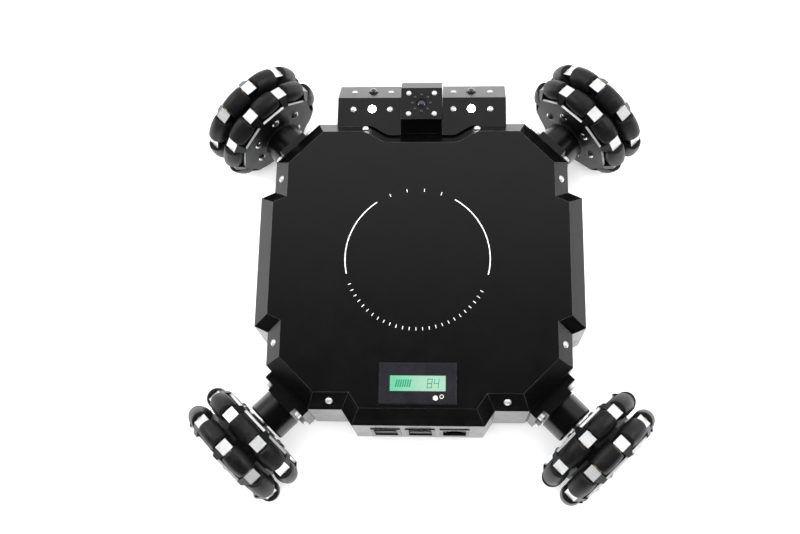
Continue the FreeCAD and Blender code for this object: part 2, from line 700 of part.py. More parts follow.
def wheel_nodes(corner):
    """All the nodes of one wheel, placed."""
    turn = WHEEL_TURN[corner]

    def place(shape, angle):
        upright = moved(shape, axis=(1, 0, 0), angle=angle)
        return at_corner(moved(upright, offset=(WHEEL_U, 0, AXLE_Z)), corner)

    mirror_row = moved(rim(True, -half_step()), axis=(0, 0, 1), angle=180.0)
    outer_rim = moved(rim(False, 0.0), offset=(ROW_OFFSET, 0, 0))
    inner_rim = moved(mirror_row, offset=(-ROW_OFFSET, 0, 0))
    nodes = {
        "outer_rim": place(outer_rim, turn),
        "inner_rim": place(inner_rim, turn + half_step()),
        "drive_shaft": at_corner(drive_shaft(), corner),
        "wheel_bolts": group([place(bolt, turn) for bolt in wheel_bolts()]),
    }
    fixed_rollers = []
    pins = []
    for row, offset in (("outer", 0.0), ("inner", half_step())):
        x = ROW_OFFSET if row == "outer" else -ROW_OFFSET
        centred = moved(roller(), offset=(x, 0, ROLLER_CENTRE))
        pin = moved(roller_pin(), offset=(x, 0, ROLLER_CENTRE))
        angles = [(angle + half_step() + offset + turn) % 360.0 for angle in row_angles()]
        lowest = min(angles, key=lambda angle: abs(angle - 180.0))
        for angle in angles:
            pins.append(place(pin, angle))
            if angle == lowest:
                nodes["ground_roller_" + row] = place(centred, angle)
            else:
                fixed_rollers.append(place(centred, angle))
    nodes["rollers"] = group(fixed_rollers)
    nodes["roller_pins"] = group(pins)
    return {corner + "_" + name: shape for name, shape in nodes.items()}


def bar_profile(wall=0.0):
    """Section of a light bar in (y, z), with its back well inside the body."""
    front = BAR_TOP_FRONT_Y + BAR_SLOPE
    back = 100.0 if wall == 0 else TOP_HALF + BAND_WIDTH
    outline = [
        (back, BAR_LOW_Z),
        (front - BAR_CHIN, BAR_LOW_Z),
        (front, BAR_LOW_Z + BAR_CHIN),
        (front, BAR_TOP_Z - BAR_SLOPE),
        (BAR_TOP_FRONT_Y, BAR_TOP_Z),
        (back, BAR_TOP_Z),
    ]
    return offset_outline(outline, -wall) if wall else outline


def slope_point(x):
    """Middle of the bar's 45 degree face, and its normal."""
    middle = Vector(x, BAR_TOP_FRONT_Y + BAR_SLOPE / 2, BAR_TOP_Z - BAR_SLOPE / 2)
    return middle, Vector(0, 1, 1).normalize()


def light_bar(side):
    x0, x1 = sorted((side * BAR_INNER_X, side * BAR_OUTER_X))
    block = prism_x(bar_profile(), x0, x1)
    cavity = prism_x(bar_profile(BAR_WALL), x0 + BAR_WALL, x1 - BAR_WALL)
    relief = body_envelope(NOTCH_GAP).common(box(-NOTCH_MOUTH_HALF, NOTCH_MOUTH_HALF, 90, 130, 0, TOP_Z))
    cutters = [cavity, body_envelope(), relief]
    cutters.append(wire_port(side))
    pin_start = (side * (BAR_INNER_X - 1), TILT_Y, TILT_Z)
    cutters.append(rod(TILT_PIN + 0.05, pin_start, (side, 0, 0), BAR_WALL + 2))
    for point, normal in bar_points([LAMP_X]):
        cutters.append(Part.makeCylinder(LAMP_STEM + 0.1, 8.0, point - normal * 6, normal))
    for point, normal in bar_points(BAR_SCREW_X):
        cutters.append(Part.makeCylinder(THREAD_HOLE, 8.0, point - normal * 6, normal))
    for place in cover_screw_places():
        point, normal = band_point(place)
        cutters.append(Part.makeCylinder(HEAD + 0.4, 6.0, point, normal))
    return block.cut(cutters)


def lamp(point, normal):
    """Dome lens on a stem."""
    ball = Part.makeSphere(LAMP_RADIUS, point)
    dome = ball.common(Part.makeCylinder(LAMP_RADIUS, LAMP_RADIUS, point, normal))
    rim_ring = Part.makeCylinder(LAMP_RADIUS + LAMP_RIM, LAMP_RIM, point, normal)
    stem = Part.makeCylinder(LAMP_STEM, 5.0, point - normal * 5.0, normal)
    return fused([dome, rim_ring, stem])


def bar_points(xs):
    places = []
    for side in (-1, 1):
        for x in xs:
            places.append((Vector(side * x, BAR_TOP_ROW_Y, BAR_TOP_Z), Vector(0, 0, 1)))
            places.append(slope_point(side * x))
    return places


def bar_lamps():
    return group([lamp(point, normal) for point, normal in bar_points([LAMP_X])])


def bar_screws():
    screws = []
    for point, normal in bar_points(BAR_SCREW_X):
        screws.append(dome_screw(point, normal, BAR_SCREW_HEAD, BAR_SCREW_HEIGHT, THREAD, 5.0))
    return group(screws)


def camera_head():
    """Chamfered housing with a round lower half that clears the body when it tilts."""
    reach, face = HEAD_REACH, HEAD_FACE_HALF
    section = [
        (-reach, 0),
        (0, -HEAD_CHIN[1]),
        (reach, -HEAD_CHIN[0]),
        (reach, face),
        (face, reach),
        (-face, reach),
        (-reach, face),
    ]
    upper = prism_x(section, -HEAD_HALF_X, HEAD_HALF_X)
    drum = rod(HEAD_DRUM, (-HEAD_HALF_X, 0, 0), (1, 0, 0), 2 * HEAD_HALF_X)
    pin = rod(TILT_PIN, (-TILT_PIN_REACH, 0, 0), (1, 0, 0), 2 * TILT_PIN_REACH)
    body = fused([upper, drum, pin])
    cutters = [rod(LENS_POCKET, (0, 0, reach - LENS_DEPTH), (0, 0, 1), LENS_DEPTH + 1)]
    for x, y in ring_points(LAMP_RING_RADIUS, LAMP_RING_COUNT):
        cutters.append(rod(RING_LAMP + 0.05, (x, y, reach - RING_LAMP_DEPTH), (0, 0, 1), 4.0))
    for x, y in camera_screw_places():
        cutters.append(rod(CAMERA_SCREW + 0.1, (x, y, reach - CAMERA_SCREW_LENGTH - 1), (0, 0, 1), 7.0))
    return moved(body.cut(cutters), offset=(0, TILT_Y, TILT_Z))


def ring_points(radius, count):
    angles = [2 * math.pi * i / count for i in range(count)]
    return [(radius * math.cos(angle), radius * math.sin(angle)) for angle in angles]


def camera_screw_places():
    return [(sx * CAMERA_SCREW_X, sy * CAMERA_SCREW_Y) for sx in (-1, 1) for sy in (-1, 1)]


def camera_lens():
    """Barrel with a domed front glass."""
    top = HEAD_REACH
    barrel = rod(LENS_POCKET - 0.05, (0, 0, top - LENS_DEPTH), (0, 0, 1), LENS_DEPTH - 0.4)
    ball = Part.makeSphere(6.0, Vector(0, 0, top - 5.6))
    glass = ball.common(rod(LENS_RADIUS, (0, 0, top - 1.0), (0, 0, 1), 3.0))
    return moved(fused([barrel, glass]), offset=(0, TILT_Y, TILT_Z))


def camera_lamp_ring():
    lamps = []
    for x, y in ring_points(LAMP_RING_RADIUS, LAMP_RING_COUNT):
        stem = rod(RING_LAMP, (x, y, HEAD_REACH - RING_LAMP_DEPTH), (0, 0, 1), RING_LAMP_DEPTH)
        ball = Part.makeSphere(RING_LAMP, Vector(x, y, HEAD_REACH))
        lamps.append(moved(stem.fuse(ball), offset=(0, TILT_Y, TILT_Z)))
    return group(lamps)


def camera_screws():
    screws = []
    for x, y in camera_screw_places():
        point = Vector(x, TILT_Y + y, TILT_Z + HEAD_REACH)
        screws.append(dome_screw(point, Vector(0, 0, 1), CAMERA_SCREW_HEAD, CAMERA_SCREW_HEIGHT,
                                 CAMERA_SCREW, CAMERA_SCREW_LENGTH))
    return group(screws)


def tilt_servo():
    y0, y1 = TILT_Y - SERVO_HALF_Y, TILT_Y + SERVO_HALF_Y
    z0, z1 = SERVO_Z
    body = box(SERVO_X[0], SERVO_X[1], y0, y1, z0, z1)
    ears = box(SERVO_EAR_X[0], SERVO_EAR_X[1], y0, y1, z0 - SERVO_EAR_REACH, z1 + SERVO_EAR_REACH)
    return fused([body, ears])


def meter_bezel():
    face = TOP_Z + METER_PROUD
    y0, y1 = METER_Y - METER_HALF_Y, METER_Y + METER_HALF_Y
    flange = box(-METER_HALF_X, METER_HALF_X, y0, y1, TOP_Z, face)
    rim_edges = [edge for edge in flange.Edges if abs(edge.CenterOfMass.z - face) < 1e-6]
    flange = flange.makeChamfer(METER_BEVEL, rim_edges)
    body = box(-METER_BODY_X, METER_BODY_X, METER_Y - METER_BODY_Y, METER_Y + METER_BODY_Y,
               TOP_Z - METER_DEPTH, TOP_Z)
    window = box(-LCD_HALF_X, LCD_HALF_X, METER_Y - LCD_HALF_Y, METER_Y + LCD_HALF_Y,
                 face - LCD_SINK - LCD_DEPTH, face + 1)
    foot = (METER_BUTTON_X, METER_Y + METER_BUTTON_DY, TOP_Z - METER_BUTTON_WELL)
    well = rod(METER_BUTTON_RADIUS + 0.1, foot, (0, 0, 1), 5)
    return fused([flange, body]).cut([window, well])


def meter_lcd():
    top = TOP_Z + METER_PROUD - LCD_SINK
    y0, y1 = METER_Y - LCD_HALF_Y, METER_Y + LCD_HALF_Y
    return box(-LCD_HALF_X, LCD_HALF_X, y0, y1, top - LCD_DEPTH, top)


def meter_button():
    """Round key, which stops just above the floor of its well when it is pressed."""
    low = TOP_Z - METER_BUTTON_WELL + METER_BUTTON_TRAVEL + 0.2
    height = TOP_Z + METER_PROUD + METER_BUTTON_PROUD - low
    return rod(METER_BUTTON_RADIUS, (METER_BUTTON_X, METER_Y + METER_BUTTON_DY, low), (0, 0, 1), height)


def panel_face():
    return PANEL_Y - BEZEL_THICK


def rocker_pivot(x):
    return x, panel_face() + ROCKER_PIVOT_IN, PANEL_Z


def panel_insert(x):
    """Bezel against the rear wall with a box behind it."""
    face = panel_face()
    bezel = box(x - BEZEL_HALF_X, x + BEZEL_HALF_X, face, PANEL_Y,
                PANEL_Z - BEZEL_HALF_Z, PANEL_Z + BEZEL_HALF_Z)
    face_edges = [edge for edge in bezel.Edges if abs(edge.CenterOfMass.y - face) < 1e-6]
    bezel = bezel.makeChamfer(BEZEL_BEVEL, face_edges)
    body = box(x - INSERT_HALF_X, x + INSERT_HALF_X, PANEL_Y, PANEL_Y + INSERT_DEPTH,
               PANEL_Z - INSERT_HALF_Z, PANEL_Z + INSERT_HALF_Z)
    return fused([bezel, body])


def face_well(x, depth):
    """The rectangular opening that all three inserts have in their bezel."""
    half_x, half_z = ROCKER_HALF_X + ROCKER_CLEAR, ROCKER_RADIUS + ROCKER_CLEAR
    face = panel_face()
    return box(x - half_x, x + half_x, face - 1, face + depth, PANEL_Z - half_z, PANEL_Z + half_z)


def rocker_frame(x):
    px, py, pz = rocker_pivot(x)
    reach = ROCKER_HALF_X + ROCKER_PIN_REACH + 0.3
    pin_hole = rod(ROCKER_PIN + 0.05, (px - reach, py, pz), (1, 0, 0), 2 * reach)
    return panel_insert(x).cut([face_well(x, ROCKER_RADIUS + 2.0), pin_hole])


def rocker(x):
    """Rocker with two faces that meet in a shallow V, resting with its lower half pressed."""
    drum = rod(ROCKER_RADIUS, (-ROCKER_HALF_X, 0, 0), (1, 0, 0), 2 * ROCKER_HALF_X)
    edge = -ROCKER_PROUD - math.tan(math.radians(ROCKER_FLARE)) * ROCKER_RADIUS
    section = [
        (-ROCKER_PROUD, 0),
        (edge, ROCKER_RADIUS),
        (ROCKER_BACK, ROCKER_RADIUS),
        (ROCKER_BACK, -ROCKER_RADIUS),
        (edge, -ROCKER_RADIUS),
    ]
    front = prism_x(section, -ROCKER_HALF_X, ROCKER_HALF_X)
    reach = ROCKER_HALF_X + ROCKER_PIN_REACH
    pin = rod(ROCKER_PIN, (-reach, 0, 0), (1, 0, 0), 2 * reach)
    body = fused([drum.common(front), pin])
    return moved(body, offset=rocker_pivot(x), axis=(1, 0, 0), angle=ROCKER_FLARE)


def data_socket():
    """Eight-contact socket with a latch notch above it, set back in its bezel."""
    x = panel_centres()[2]
    face = panel_face() + SOCKET_FACE_IN
    x0, x1 = x - SOCKET_HALF_X, x + SOCKET_HALF_X
    top = SOCKET_LOW_Z + SOCKET_HEIGHT
    hole = box(x0, x1, face - 1, face + SOCKET_DEPTH, SOCKET_LOW_Z, top)
    latch = box(x - SOCKET_LATCH_HALF, x + SOCKET_LATCH_HALF, face - 1, face + SOCKET_LATCH_DEPTH,
                top, top + SOCKET_LATCH_RISE)
    first = x - CONTACT_PITCH * (CONTACTS - 1) / 2 - CONTACT_WIDTH / 2
    contacts = []
    for i in range(CONTACTS):
        left = first + i * CONTACT_PITCH
        contacts.append(box(left, left + CONTACT_WIDTH, face + 1.0, face + SOCKET_DEPTH,
                            SOCKET_LOW_Z - 0.5, SOCKET_LOW_Z + 0.8))
    return fused([panel_insert(x).cut([face_well(x, SOCKET_FACE_IN), hole, latch])] + contacts)


def battery_pack():
    pack = box(*BATTERY)
    upright = [edge for edge in pack.Edges if edge.BoundBox.ZLength > 10]
    return pack.makeFillet(BATTERY_ROUND, upright)


def board_with_parts(x0, x1, y0, y1, z):
    """Circuit board on four standoffs, with a heat sink and two plugs."""
    top = z + BOARD
    solids = [box(x0, x1, y0, y1, z, top)]
    for x in (x0 + STANDOFF_INSET, x1 - STANDOFF_INSET):
        for y in (y0 + STANDOFF_INSET, y1 - STANDOFF_INSET):
            solids.append(rod(STANDOFF, (x, y, PAN_Z), (0, 0, 1), z - PAN_Z))
    sink_y0, sink_y1 = y0 + SINK_Y[0], y0 + SINK_Y[1]
    half_span = SINK_PITCH * (SINK_FINS - 1) / 2
    middle = (x0 + x1) / 2
    for i in range(SINK_FINS):
        fin = middle - half_span + i * SINK_PITCH
        solids.append(box(fin - 0.7, fin + 0.7, sink_y0, sink_y1, top, top + SINK_HEIGHT))
    solids.append(box(middle - half_span - 1, middle + half_span + 1, sink_y0, sink_y1, top, top + SINK_BASE))
    length, width, height = PLUG_SIZE
    for i in (1, 2):
        y = y1 - i * PLUG_PITCH
        solids.append(box(x0 + 8, x0 + 8 + length, y, y + width, top, top + height))
    return fused(solids)


def control_board():
    return board_with_parts(-CONTROL_HALF, CONTROL_HALF, -CONTROL_HALF, CONTROL_HALF, CONTROL_Z)


def driver_boards():
    x0, x1 = DRIVER_X
    near, far = DRIVER_Y
    left = board_with_parts(x0, x1, near, far, DRIVER_Z)
    right = board_with_parts(x0, x1, -far, -near, DRIVER_Z)
    return group([left, right])


def every_corner(make):
    """The same solid, or list of solids, at all four corners."""
    made = make()
    solids = made if isinstance(made, list) else [made]
    return group([at_corner(solid, corner) for corner in CORNERS for solid in solids])


def all_nodes():
    left, middle, _ = panel_centres()
    nodes = {
        "top_cover": top_cover(),
        "chassis_pan": chassis_pan(),
        "base_plate": base_plate(),
        "body_screws": body_screws(),
        "light_bar_left": light_bar(-1),
        "light_bar_right": light_bar(1),
        "bar_lamps": bar_lamps(),
        "bar_screws": bar_screws(),
        "camera_head": camera_head(),
        "camera_lens": camera_lens(),
        "camera_lamp_ring": camera_lamp_ring(),
        "camera_screws": camera_screws(),
        "tilt_servo": tilt_servo(),
        "meter_bezel": meter_bezel(),
        "meter_lcd": meter_lcd(),
        "meter_button": meter_button(),
        "rocker_frames": group([rocker_frame(left), rocker_frame(middle)]),
        "power_rocker": rocker(left),
        "light_rocker": rocker(middle),
        "data_socket": data_socket(),
        "battery_pack": battery_pack(),
        "control_board": control_board(),
        "driver_boards": driver_boards(),
        "motor_mounts": every_corner(motor_mount),
        "mount_bolts": every_corner(mount_bolts),
        "bearing_housings": every_corner(bearing_housing),
        "gearboxes": every_corner(gearbox),
        "motors": every_corner(motor),
    }
    for corner in CORNERS:
        nodes.update(wheel_nodes(corner))
    return nodes


os.makedirs("parts", exist_ok=True)
for name, shape in all_nodes().items():
    shape.exportStep("parts/" + name + ".step")
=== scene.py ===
import json
import math

import bmesh
import bpy
from mathutils import Matrix, Vector


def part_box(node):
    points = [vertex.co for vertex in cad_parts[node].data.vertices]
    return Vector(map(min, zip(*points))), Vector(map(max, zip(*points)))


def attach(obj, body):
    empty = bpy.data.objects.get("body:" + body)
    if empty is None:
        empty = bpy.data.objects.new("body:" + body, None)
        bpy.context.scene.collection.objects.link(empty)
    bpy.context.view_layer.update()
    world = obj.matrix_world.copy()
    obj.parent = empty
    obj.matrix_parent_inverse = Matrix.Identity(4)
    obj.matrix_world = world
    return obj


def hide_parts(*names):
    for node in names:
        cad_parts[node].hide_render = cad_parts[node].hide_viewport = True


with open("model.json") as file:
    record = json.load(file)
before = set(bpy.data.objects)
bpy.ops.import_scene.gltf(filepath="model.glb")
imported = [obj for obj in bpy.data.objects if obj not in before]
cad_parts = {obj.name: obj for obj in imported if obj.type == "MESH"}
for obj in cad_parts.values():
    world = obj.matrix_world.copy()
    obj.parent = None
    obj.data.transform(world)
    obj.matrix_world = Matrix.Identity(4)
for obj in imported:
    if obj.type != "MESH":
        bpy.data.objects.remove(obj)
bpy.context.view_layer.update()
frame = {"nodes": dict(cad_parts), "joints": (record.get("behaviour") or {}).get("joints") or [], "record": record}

MM = 0.001
BODIES = frame["record"]["behaviour"]["bodies"]
BODY_OF = {node: body for body, nodes in BODIES.items() for node in nodes}
SLOT_OF = {part["node"]: part["material_slot"] for part in frame["record"]["subparts"]}
JOINTS = {joint["name"]: joint for joint in frame["joints"]}
CORNERS = ("front_right", "front_left", "rear_left", "rear_right")
Y_AXIS, Z_AXIS = Vector((0, 1, 0)), Vector((0, 0, 1))

# ---- driving dimensions, in metres, as in the CAD ----
WHEEL_RADIUS = 50 * MM
ROLLERS_PER_ROW = 9
ROLLER_RADIUS = 8.75 * MM
ROLLER_HALF = 10.25 * MM
PIN_RADIUS = 1.5 * MM
PIN_HALF = 13.4 * MM
WASHER_RADIUS = 4.2 * MM
COVER_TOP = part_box("top_cover")[1].z
TILT_AT = Vector(JOINTS["camera_tilt"]["pos_m"])
HEAD_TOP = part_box("camera_head")[1].z
RING_LAMP_RADIUS = 7.4 * MM
RING_LAMPS = 8
BAR_LAMP_X = 41.2 * MM
BAR_TOP_LAMP = (131.6 * MM, 95.0 * MM)          # y and z of the lamps in the bars' flat tops
BAR_SLOPE_LAMP = (152.0 * MM, 85.0 * MM)        # y and z of the lamps in their slopes

# ---- rollers and rims ----
CROWN_RELIEF = 0.03 * MM        # how far the rollers' crowns stay inside the wheel's circle
CROWN_STEPS = 14
SHOULDER = 1.3 * MM             # rounding between a roller's crown and its end
SHOULDER_ANGLES = (18, 36, 54, 72, 90)
DISH_EDGE = 2.4 * MM            # where the dish in a roller's end starts, in from its crown
DISH_FLOOR = 2.8 * MM
DISH_DEPTH = 0.5 * MM
HUB_RADIUS = 2.4 * MM           # raised hub round the pin
HUB_FOOT = 2.6 * MM
ROLLER_BORE_GAP = 0.06 * MM
PIN_CHAMFER = 0.2 * MM
WASHER_NEAR = 0.15 * MM         # a washer's two faces, out from its roller's end
WASHER_FAR = 0.85 * MM
WASHER_CHAMFER = 0.12 * MM
WASHER_BORE_GAP = 0.01 * MM
PLATE_EDGE = 37 * MM            # a rim's outward faces beyond this radius are bare metal
OUTWARD = 0.97                  # least cosine between an outward face's normal and the radius

# ---- printed ring on the cover ----
INK = 0.06 * MM                 # how far the print stands up
RING_CENTRE = (-1.6 * MM, -0.7 * MM)
RING_RADIUS = 57.4 * MM
RING_HALF_WIDTH = 0.45 * MM
RING_ARCS = ((-13.5, 59.0), (125.0, 193.0))     # first and last angle of each, in degrees
RING_STEPS = 48
TICK_HALF_LENGTH = 1.3 * MM
TICK_HALF_WIDTH = 0.3 * MM
TICK_RUNS = ((202.0, 5.2, 26), (71.0, 14.0, 4))     # first angle, spacing and number of ticks

# ---- meter ----
LCD_HALF = (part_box("meter_lcd")[1].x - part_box("meter_lcd")[0].x) / 2
MARK_RISE = 0.08 * MM           # how far the panel's marks stand up
BARS = 7
BARS_LEFT = -17.6 * MM
BAR_PITCH = 1.75 * MM
BAR_WIDTH = 1.25 * MM
BAR_HALF_HEIGHT = 2.9 * MM
BAR_SLANT = 0.22
DIGITS = (("8", 6.6 * MM), ("4", 11.8 * MM))    # each digit and its left edge
DIGIT_LOW = -3.9 * MM
DIGIT_WIDTH = 4.1 * MM
DIGIT_HEIGHT = 7.6 * MM
DIGIT_SLANT = 0.12
STROKE = 0.85 * MM
SEGMENT_GAP = 0.12 * MM
KEY_RING_AT = (18.3 * MM, -111.2 * MM)
KEY_RING_INNER = 1.2 * MM
KEY_RING_OUTER = 1.6 * MM
KEY_RING_RISE = 0.07 * MM
# top, upper right, lower right, bottom, lower left, upper left and middle segment of each digit
SEGMENTS_ON = {"8": (1, 1, 1, 1, 1, 1, 1), "4": (0, 1, 1, 0, 0, 1, 1)}

# ---- lamps and lens ----
LAMP_RADIUS = 3.3 * MM
LAMP_RISE = 3.2 * MM
LAMP_SUNK = 0.3 * MM
TIP_RADIUS = 0.05 * MM          # flat left at the top of a dome
BEAD_RADIUS = 1.25 * MM
BEAD_RISE = 1.1 * MM
BEAD_SUNK = 1.5 * MM
BEAD_TIP_RADIUS = 0.04 * MM
BEAD_STEPS = 6
GLASS_SEAT = 3.45 * MM
GLASS_RADIUS = 3.4 * MM
GLASS_RISE = 1.3 * MM
GLASS_SUNK = 1.2 * MM
# turned profiles: radius and height in millimetres
LAMP_RIM = ((3.35, 0), (4.2, 0), (4.2, 0.35), (3.95, 0.6), (3.55, 0.6), (3.35, 0.4))
LENS_STEPS = ((4.5, -8.6), (4.5, -0.45), (4.2, -0.2), (3.95, -0.2), (3.7, -0.8), (3.5, -0.8),
              (3.3, -1.5), (3.0, -1.5), (2.8, -2.2), (2.4, -2.2))

# ---- meshes ----
HARD_EDGE = math.radians(28)    # edges sharper than this are rounded
FLAT = math.radians(0.8)        # faces closer than this in direction are merged
WELD = 2e-6                     # vertices closer than this are merged

# ---- metals ----
ALUMINIUM = (0.84, 0.85, 0.86)
STEEL = (0.66, 0.67, 0.68)
SCREW_STEEL = (0.88, 0.88, 0.87)

# ---- studio ----
FLOOR_HALF = 60.0
# strength of the floor's painted glow, which lifts the shadows on it
FLOOR_GLOW = 0.4
OVERHEAD_AT = (0.0, -0.05, 1.15)
OVERHEAD_SIZE = (1.3, 1.3)
OVERHEAD_WATTS = 29.0
SIDE_LAMPS = (("left_softbox", (-1.6, 0.5, 1.3)), ("right_softbox", (1.6, 0.3, 1.3)))
SIDE_LAMP_SIZE = (0.9, 0.7)
SIDE_LAMP_WATTS = 9.0
# brightness of the room, and the parts of a direction between which it changes
CEILING = 0.03
SIDE_WALLS = 0.1
SIDE_RISE = (0.15, 0.8)
FRONT_WALL = 0.85
FRONT_RISE = (0.21, 0.40)
REAR_ROOM = 0.02
REAR_RISE = (-0.85, -0.2)

# ---- view ----
VIEW_TARGET = Vector((-0.0207, 0.0228, 0.0))
VIEW_DISTANCE = 0.972
VIEW_AZIMUTH = math.radians(10.1)
VIEW_ELEVATION = math.radians(73.1)
VIEW_ROLL = math.radians(-9.5)
VIEW_LENS = 49.3                # focal length and sensor width, in millimetres
VIEW_SENSOR = 36.0


# ---------------------------------------------------------------- materials

def new_material(name, **values):
    """A node material whose uniform values sit on the shader's own sockets."""
    made = bpy.data.materials.new(name)
    made.use_nodes = True
    shader = made.node_tree.nodes["Principled BSDF"]
    for key, value in values.items():
        shader.inputs[key.replace("_", " ")].default_value = value
    return made, made.node_tree, shader


def grey(value, tint=0.0):
    """An opaque grey, made bluer by tint."""
    return (value, value, value * (1 + tint), 1.0)


def place_coordinates(tree, scale=(1.0, 1.0, 1.0)):
    """Object coordinates, which are the row frame's, stretched by scale."""
    source = tree.nodes.new("ShaderNodeTexCoord")
    mapping = tree.nodes.new("ShaderNodeMapping")
    mapping.inputs["Scale"].default_value = scale
    tree.links.new(source.outputs["Object"], mapping.inputs["Vector"])
    return mapping.outputs["Vector"]


def noise(tree, scale, detail=4.0, roughness=0.55, stretch=(1.0, 1.0, 1.0)):
    """Cloudy values between 0 and 1, fixed to the piece."""
    node = tree.nodes.new("ShaderNodeTexNoise")
    node.inputs["Scale"].default_value = scale
    node.inputs["Detail"].default_value = detail
    node.inputs["Roughness"].default_value = roughness
    tree.links.new(place_coordinates(tree, stretch), node.inputs["Vector"])
    return node.outputs["Fac"]


def ramp(tree, factor, low, high, low_value, high_value):
    """Maps factor between low and high onto two greys or two colours."""
    node = tree.nodes.new("ShaderNodeValToRGB")
    first, last = node.color_ramp.elements
    first.position, last.position = low, high
    first.color = low_value if isinstance(low_value, tuple) else grey(low_value)
    last.color = high_value if isinstance(high_value, tuple) else grey(high_value)
    tree.links.new(factor, node.inputs["Fac"])
    return node.outputs["Color"]


def blend(tree, factor, first, second, mode="MIX"):
    """Mixes two colours; each input is a value or a socket."""
    node = tree.nodes.new("ShaderNodeMix")
    node.data_type = "RGBA"
    node.blend_type = mode
    for socket, value in ((node.inputs[0], factor), (node.inputs[6], first), (node.inputs[7], second)):
        if isinstance(value, (float, tuple)):
            socket.default_value = value
        else:
            tree.links.new(value, socket)
    return node.outputs[2]


def add_bump(tree, shader, height, strength, distance):
    """Fine relief, on top of any that the shader already has."""
    node = tree.nodes.new("ShaderNodeBump")
    node.inputs["Strength"].default_value = strength
    node.inputs["Distance"].default_value = distance
    tree.links.new(height, node.inputs["Height"])
    if shader.inputs["Normal"].is_linked:
        tree.links.new(shader.inputs["Normal"].links[0].from_socket, node.inputs["Normal"])
    tree.links.new(node.outputs["Normal"], shader.inputs["Normal"])


def black_satin(name, base=0.0011, rough=(0.2, 0.27), grain=2600.0):
    """Bead-blasted black finish: fine grain, even gloss, faint dust and handling marks."""
    made, tree, shader = new_material(name, Metallic=0.0, IOR=1.5, Coat_Weight=0.0)
    cloud = noise(tree, 22.0, 5.0)
    colour = ramp(tree, cloud, 0.3, 0.75, grey(base * 0.85, 0.08), grey(base * 1.2, 0.12))
    dust = ramp(tree, noise(tree, 420.0, 8.0, 0.75), 0.66, 0.86, 0.0, 0.3)
    tree.links.new(blend(tree, dust, colour, grey(base * 7.0, 0.05)), shader.inputs["Base Color"])
    gloss = ramp(tree, noise(tree, 60.0, 6.0, 0.6), 0.3, 0.7, rough[0], rough[1])
    marks = ramp(tree, noise(tree, 14.0, 3.0, 0.5, (1.0, 45.0, 1.0)), 0.66, 0.76, 0.0, 0.3)
    tree.links.new(blend(tree, marks, gloss, grey(rough[1] + 0.06)), shader.inputs["Roughness"])
    add_bump(tree, shader, noise(tree, grain, 3.0), 0.12, 0.0001)
    return made


def worn_and_highlit_edge(name):
    """The polished line along the black finish's edges: partly handling wear, partly a painted highlight, paler
    and more metallic than the finish.
    """
    made, tree, shader = new_material(name, Metallic=0.55, IOR=1.5)
    wear = noise(tree, 140.0, 6.0, 0.65)
    # painted highlight: the edges' grey is far paler than the black finish, patchy like wear
    tree.links.new(ramp(tree, wear, 0.35, 0.7, grey(0.035), grey(0.2)), shader.inputs["Base Color"])
    tree.links.new(ramp(tree, wear, 0.35, 0.7, 0.34, 0.22), shader.inputs["Roughness"])
    add_bump(tree, shader, noise(tree, 1800.0, 2.0), 0.08, 0.0001)
    return made


def brushed_metal(name, colour, rough, stretch, lines=0.25, metallic=1.0):
    """Machined metal with fine lines along one direction and faint stains."""
    made, tree, shader = new_material(name, Metallic=metallic)
    streaks = noise(tree, 90.0, 6.0, 0.65, stretch)
    stain = noise(tree, 45.0, 5.0, 0.6)
    darker = tuple(channel * 0.78 for channel in colour) + (1.0,)
    base = ramp(tree, streaks, 0.25, 0.75, darker, colour + (1.0,))
    dull = ramp(tree, stain, 0.55, 0.8, 0.0, 0.4)
    tree.links.new(blend(tree, dull, base, darker), shader.inputs["Base Color"])
    tree.links.new(ramp(tree, streaks, 0.2, 0.8, rough[0], rough[1]), shader.inputs["Roughness"])
    add_bump(tree, shader, streaks, lines, 0.00008)
    return made


def rubber(name, base):
    """Smooth moulded rubber, scuffed and dusted a little greyer where it has rolled."""
    made, tree, shader = new_material(name, IOR=1.5, Specular_IOR_Level=0.36)
    scuff = ramp(tree, noise(tree, 330.0, 9.0, 0.78), 0.5, 0.74, 0.0, 0.8)
    tone = ramp(tree, noise(tree, 55.0, 4.0), 0.3, 0.7, grey(base * 0.8), grey(base * 1.6))
    tree.links.new(blend(tree, scuff, tone, grey(base * 5.5, 0.04)), shader.inputs["Base Color"])
    gloss = ramp(tree, noise(tree, 120.0, 6.0, 0.6), 0.3, 0.75, 0.36, 0.56)
    tree.links.new(gloss, shader.inputs["Roughness"])
    add_bump(tree, shader, noise(tree, 1500.0, 4.0, 0.6), 0.16, 0.00015)
    return made


def moulded_plastic(name, colour, rough=(0.25, 0.36), grain=1400.0, strength=0.08):
    """Plain plastic with a fine moulded grain and a slightly uneven tone."""
    made, tree, shader = new_material(name, IOR=1.46)
    paler = tuple(min(1.0, channel * 1.35 + 0.001) for channel in colour) + (1.0,)
    tone = ramp(tree, noise(tree, 70.0, 5.0), 0.3, 0.75, colour + (1.0,), paler)
    tree.links.new(tone, shader.inputs["Base Color"])
    gloss = ramp(tree, noise(tree, 95.0, 5.0), 0.3, 0.7, rough[0], rough[1])
    tree.links.new(gloss, shader.inputs["Roughness"])
    add_bump(tree, shader, noise(tree, grain, 3.0), strength, 0.0001)
    return made


def dark_glass(name, colour, rough=0.04):
    """Coated glass seen as a dark, glossy, faintly tinted surface."""
    made, tree, shader = new_material(name, IOR=1.6, Coat_Weight=1.0, Coat_Roughness=0.03, Coat_IOR=1.7)
    smear = noise(tree, 380.0, 5.0, 0.6)
    tint = tuple(channel * 2.2 for channel in colour) + (1.0,)
    tree.links.new(ramp(tree, smear, 0.3, 0.8, colour + (1.0,), tint), shader.inputs["Base Color"])
    tree.links.new(ramp(tree, smear, 0.3, 0.8, rough, rough + 0.1), shader.inputs["Roughness"])
    return made


